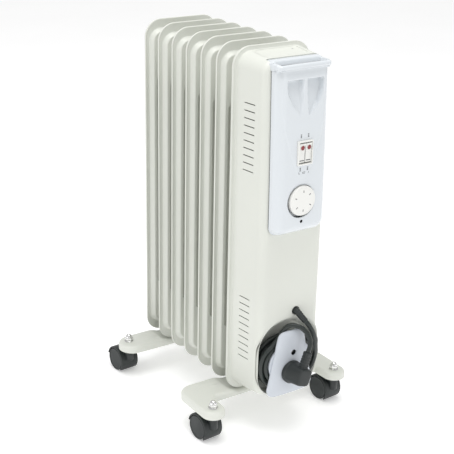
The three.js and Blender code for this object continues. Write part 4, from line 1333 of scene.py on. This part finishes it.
def foot(name, outline, beads, slot_y):
    """A pressed foot with a round top edge, hollow from below."""
    outline = divided(outline)

    def ring(inset, height=None, under=0.0):
        """The outline drawn in, at a height, or that far under the pressed top."""
        return [
            (x, y, foot_skin(x, y, beads) - under if height is None else height)
            for x, y in shrunk(outline, inset)
        ]

    outside = [ring(0.5, 54.9), ring(0.1, 55.1), ring(0, 55.6)]
    for angle in range(0, 91, 15):
        turn = math.radians(angle)
        outside.append(ring(5 * (1 - math.cos(turn)), under=5 * (1 - math.sin(turn))))
    outside.append(ring(6.0))
    inside = [ring(0.5, 54.9), ring(1.6, 54.9), ring(1.8, 55.4)]
    inside += [ring(1.8, under=4.0), ring(3.2, under=2.3), ring(6.0, under=FOOT_SHEET)]
    net, faces = filled(shrunk(outline, 6.0), 3.0)
    top = [(x, y, foot_skin(x, y, beads)) for x, y in net], faces
    below = [(x, y, z - FOOT_SHEET) for x, y, z in top[0]], faces
    shape = joined([bridge(outside), top, bridge(inside), below])
    obj = obj_of(f"{name}_pressing", *shape, angle=50, weld=0.02)
    cut(obj, [rod((x, slot_y, 40), (x, slot_y, 90), 3.3) for x in (-31, 31)])
    link(obj, "enamel", "heater", [name])


def feet():
    front = [(0, -12), (92, -12)] + arc(95, -22, 10, 90, 0, 8)
    front += arc(NUT_X, FRONT_NUT_Y, 19.5, 180, 360, 36)
    front += arc(116.8, 16, 28, 0, 80, 20) + [(60, 44), (0, 44)]
    foot("front_foot", mirrored(front), [(66, 103, 27, 3.2), (66, 91, 15, 3.0)], PITCH / 2)
    rear = [(0, REAR_NUT_Y - 30), (60, REAR_NUT_Y - 30)]
    rear += arc(NUT_X - 6, REAR_NUT_Y - 4, 25.5, -90, 90, 40)
    rear += [(60, REAR_NUT_Y + 22), (0, REAR_NUT_Y + 22)]
    foot("rear_foot", mirrored(rear), [(66, 103, 244, 3.2), (66, 103, 222, 3.2)], REAR_NUT_Y - 4)


WING_HUB = [(0, 3.0), (0, 5.2), (0.8, 5.5), (6.4, 5.2), (7.6, 4.4), (7.9, 3.0), (0, 3.0)]


def wing(x, y, sign):
    """One wing of a nut, thinner and lower towards its end."""
    rings = []
    for k in range(9):
        share = k / 8
        out, up = y + sign * (4 + 9.4 * share), 56.0 - 1.2 * share
        tall = 3.2 + 0.9 * math.sin(math.pi * share * 0.85)
        thick = 1.35 - 0.35 * share
        turns = np.linspace(0, 2 * math.pi, 20, endpoint=False)
        rings.append([(x + thick * math.cos(a), out, up + tall * math.sin(a)) for a in turns])
    return joined([bridge(rings), fan(rings[0]), fan(rings[-1])])


def foot_bolts():
    leg = (48, 58, 70, 90, 108)
    for where, y in (("front", PITCH / 2), ("rear", REAR_NUT_Y - 4)):
        route = [(-31, y, z) for z in leg]
        route += [(x, y, z) for x, z in arc(0, 123, 31, 180, 0, 24)]
        route += [(31, y, z) for z in reversed(leg)]
        route = spline(route, 4)
        bolt = sweep(route, [2.85] * len(route), 24)
        piece(f"u_bolt_rod_{where}", bolt, "zinc", [f"u_bolt_{where}"])
        for side, x in (("left", -31), ("right", 31)):
            parts = [revolve(WING_HUB, (x, y, 60.0), (0, 0, -1), 40)]
            parts += [wing(x, y, sign) for sign in (-1, 1)]
            name = f"wing_nut_{where}_{side}"
            cast = name.replace("nut_", "nut_cast_")
            piece(cast, joined(parts), "zinc", [name], angle=40)


feet()
foot_bolts()

# ------------------------------------------------------------------ castors

TRAIL_TURN = math.radians(4)
TRAIL = 21
WHEEL_RADIUS = 20.7
AXLE_Z = FLOOR + WHEEL_RADIUS
BOSS = [(0, 0), (0, 7.8), (0.6, 8.3), (25.2, 8.3), (26.0, 7.9), (26.3, 7.0), (26.3, 0)]
WASHER = [(0, 4), (0, 7.8), (0.25, 8.2), (1.0, 8.2), (1.4, 7.8), (1.4, 4), (0, 4)]
NUT_DOME = [
    (0, 6.6), (0.2, 6.1), (0.8, 5.9), (2.0, 5.7), (3.4, 5.1), (4.6, 4.2), (5.6, 3.0), (6.3, 1.6),
    (6.5, 0),
]
STEM = [(0, 0), (0.4, 3.6), (1.0, 4.0), (30, 4.0), (32.5, 4.0), (32.5, 0)]
AXLE = [(-13.9, 0), (-13.9, 2.2), (-13.6, 2.4), (13.6, 2.4), (13.9, 2.2), (13.9, 0)]


def turned(part, x, y):
    """A piece of a castor's own frame, set at its swivel."""
    points, faces = part
    c, s = math.cos(TRAIL_TURN), math.sin(TRAIL_TURN)
    return [(x + px * c - py * s, y + px * s + py * c, pz) for px, py, pz in points], faces


def over_wheels(radius, steps):
    """Places along the hood's sweep over the wheels, in Y and Z."""
    turns = np.radians(np.linspace(12, 222, steps))
    return [(TRAIL + radius * math.cos(a), AXLE_Z + radius * math.sin(a)) for a in turns]


def hood():
    """The shell over both wheels, with rounded shoulders, its web and the swivel boss."""
    half, inner, outer, fillet = 17.3, 21.9, 24.2, 1.1
    flat, top = half - fillet, outer - fillet
    section = [(-half, inner), (-half, top)]
    for a in np.linspace(0.3, math.pi / 2, 5):
        section.append((-flat - fillet * math.cos(a), top + fillet * math.sin(a)))
    for a in np.linspace(0, math.pi / 2 - 0.3, 5):
        section.append((flat + fillet * math.sin(a), top + fillet * math.cos(a)))
    section += [(half, top), (half, inner)]
    sweeps = [[(x, y, z) for y, z in over_wheels(r, 64)] for x, r in section]
    shell = capped([list(ring) for ring in zip(*sweeps)])
    web = over_wheels(outer - 0.8, 48)
    web = capped([[(x, y, z) for y, z in web] for x in (-2.6, -2.3, 2.3, 2.6)])
    return joined([shell, web, revolve(BOSS, (0, 0, 30.2), UP, 48)])


def wheel(sign):
    """A wheel with rounded shoulders and a slightly sunk, dished outer face."""
    half = 6.75
    profile = [(-half, 2.9), (-half, 19.0), (-half + 0.5, 20.1), (-half + 1.4, 20.6), (0, 20.7)]
    outer = [
        (1.4, 20.6), (0.5, 20.2), (0, 19.4), (0, 18.7), (0.2, 18.3), (0.6, 18.0), (0.75, 17.5),
        (0.7, 16.5), (0.45, 10), (0.35, 5), (0.3, 0),
    ]
    profile += [(half - inset, radius) for inset, radius in outer]
    return revolve(profile, (sign * 10.6, TRAIL, AXLE_Z), (sign, 0, 0), 96)


def acorn_nut():
    rings = []
    for z, chamfer in ((69.8, 0.2), (70.1, 0.0), (74.4, 0.0), (75.0, 0.35), (75.3, 0.9)):
        ring = []
        for k in range(72):
            a = 2 * math.pi * k / 72
            flat = (a + math.pi / 6) % (math.pi / 3) - math.pi / 6
            radius = min(6.5 / max(math.cos(flat), 0.5), 7.3) - chamfer
            ring.append((radius * math.cos(a), radius * math.sin(a), z))
        rings.append(ring)
    washer = revolve(WASHER, (0, 0, 68.35), UP, 64)
    dome = revolve(NUT_DOME, (0, 0, 75.2), UP, 64)
    return joined([washer, bridge(rings), fan(rings[0]), dome])


def castors():
    for end, y in (("front", FRONT_NUT_Y), ("rear", REAR_NUT_Y)):
        for side, x in (("left", -NUT_X), ("right", NUT_X)):
            name = f"{end}_{side}"
            castor = f"castor_{name}"
            cap = turned(acorn_nut(), x, y)
            stem = turned(revolve(STEM, (0, 0, 36), UP, 32), x, y)
            axle = turned(revolve(AXLE, (0, TRAIL, AXLE_Z), (1, 0, 0), 32), x, y)
            shell = turned(hood(), x, y)
            piece(f"acorn_nut_{name}", cap, "chrome", [f"stem_{name}"])
            piece(f"stem_rod_{name}", stem, "zinc")
            piece(
                f"hood_shell_{name}", shell, "black", [f"hood_{name}"], castor,
                angle=45)
            piece(f"axle_rod_{name}", axle, "zinc", [f"axle_{name}"], castor)
            for wheel_side, sign in (("left", -1), ("right", 1)):
                node = f"wheel_{name}_{wheel_side}"
                tyre = node.replace("wheel_", "wheel_tyre_")
                shape = turned(wheel(sign), x, y)
                piece(tyre, shape, "tyre", [node], node, angle=40)


castors()

# ------------------------------------------------------------------ small and inner pieces


def cad_looks():
    """Procedural materials on the CAD nodes that stay: the working parts inside."""
    looks = {
        "oil_filler_plug": "zinc", "thermostat": "ceramic", "thermostat_shaft": "brass",
        "switch_block": "white", "heating_element": "zinc", "thermal_cutout": "ceramic",
        "terminal_block": "ceramic",
    }
    for name, material in looks.items():
        obj = bpy.data.objects[name]
        obj.data.materials.clear()
        obj.data.materials.append(MATERIALS[material])


cad_looks()

# ------------------------------------------------------------------ floor, light

SKY, GLOW = 0.67, 0.27
KEY_LEFT, KEY_FRONT, KEY_TOP = 7.5, 5, 40


def studio():
    world = bpy.data.worlds.new("studio")
    bpy.context.scene.world = world
    world.use_nodes = True
    background = world.node_tree.nodes["Background"]
    background.inputs["Color"].default_value = (1.0, 1.0, 1.0, 1)
    background.inputs["Strength"].default_value = SKY
    mesh = bpy.data.meshes.new("floor")
    mesh.from_pydata([(-30, -30, 0), (30, -30, 0), (30, 30, 0), (-30, 30, 0)], [], [(0, 1, 2, 3)])
    floor = bpy.data.objects.new("floor", mesh)
    bpy.context.scene.collection.objects.link(floor)
    n = Nodes("pale_floor")
    tone = n.mix(n.span(n.noise(3, 2), 0, 1), (0.96, 0.96, 0.96), (0.94, 0.94, 0.94))
    n.shader.inputs["Emission Color"].default_value = (1, 1, 1, 1)
    n.shader.inputs["Emission Strength"].default_value = GLOW
    mesh.materials.append(n.finish(Base_Color=tone, Roughness=0.9))

    def lamp(name, place, target, size, power):
        data = bpy.data.lights.new(name, "AREA")
        data.shape = "RECTANGLE"
        data.size, data.size_y = size
        data.energy = power
        obj = bpy.data.objects.new(name, data)
        bpy.context.scene.collection.objects.link(obj)
        obj.location = place
        direction = Vector(target) - Vector(place)
        obj.rotation_euler = direction.to_track_quat("-Z", "Y").to_euler()

    lamp("left", (-3.0, -0.6, 0.75), (0, 0, 0.33), (1.3, 1.3), KEY_LEFT)
    lamp("front", (0.5, -3.0, 0.85), (0, 0, 0.33), (1.3, 1.3), KEY_FRONT)
    lamp("top", (-0.2, -0.3, 2.8), (0, 0, 0.3), (1.8, 1.8), KEY_TOP)
    bpy.context.scene.view_settings.view_transform = "Standard"
    bpy.context.scene.view_settings.look = "None"


studio()
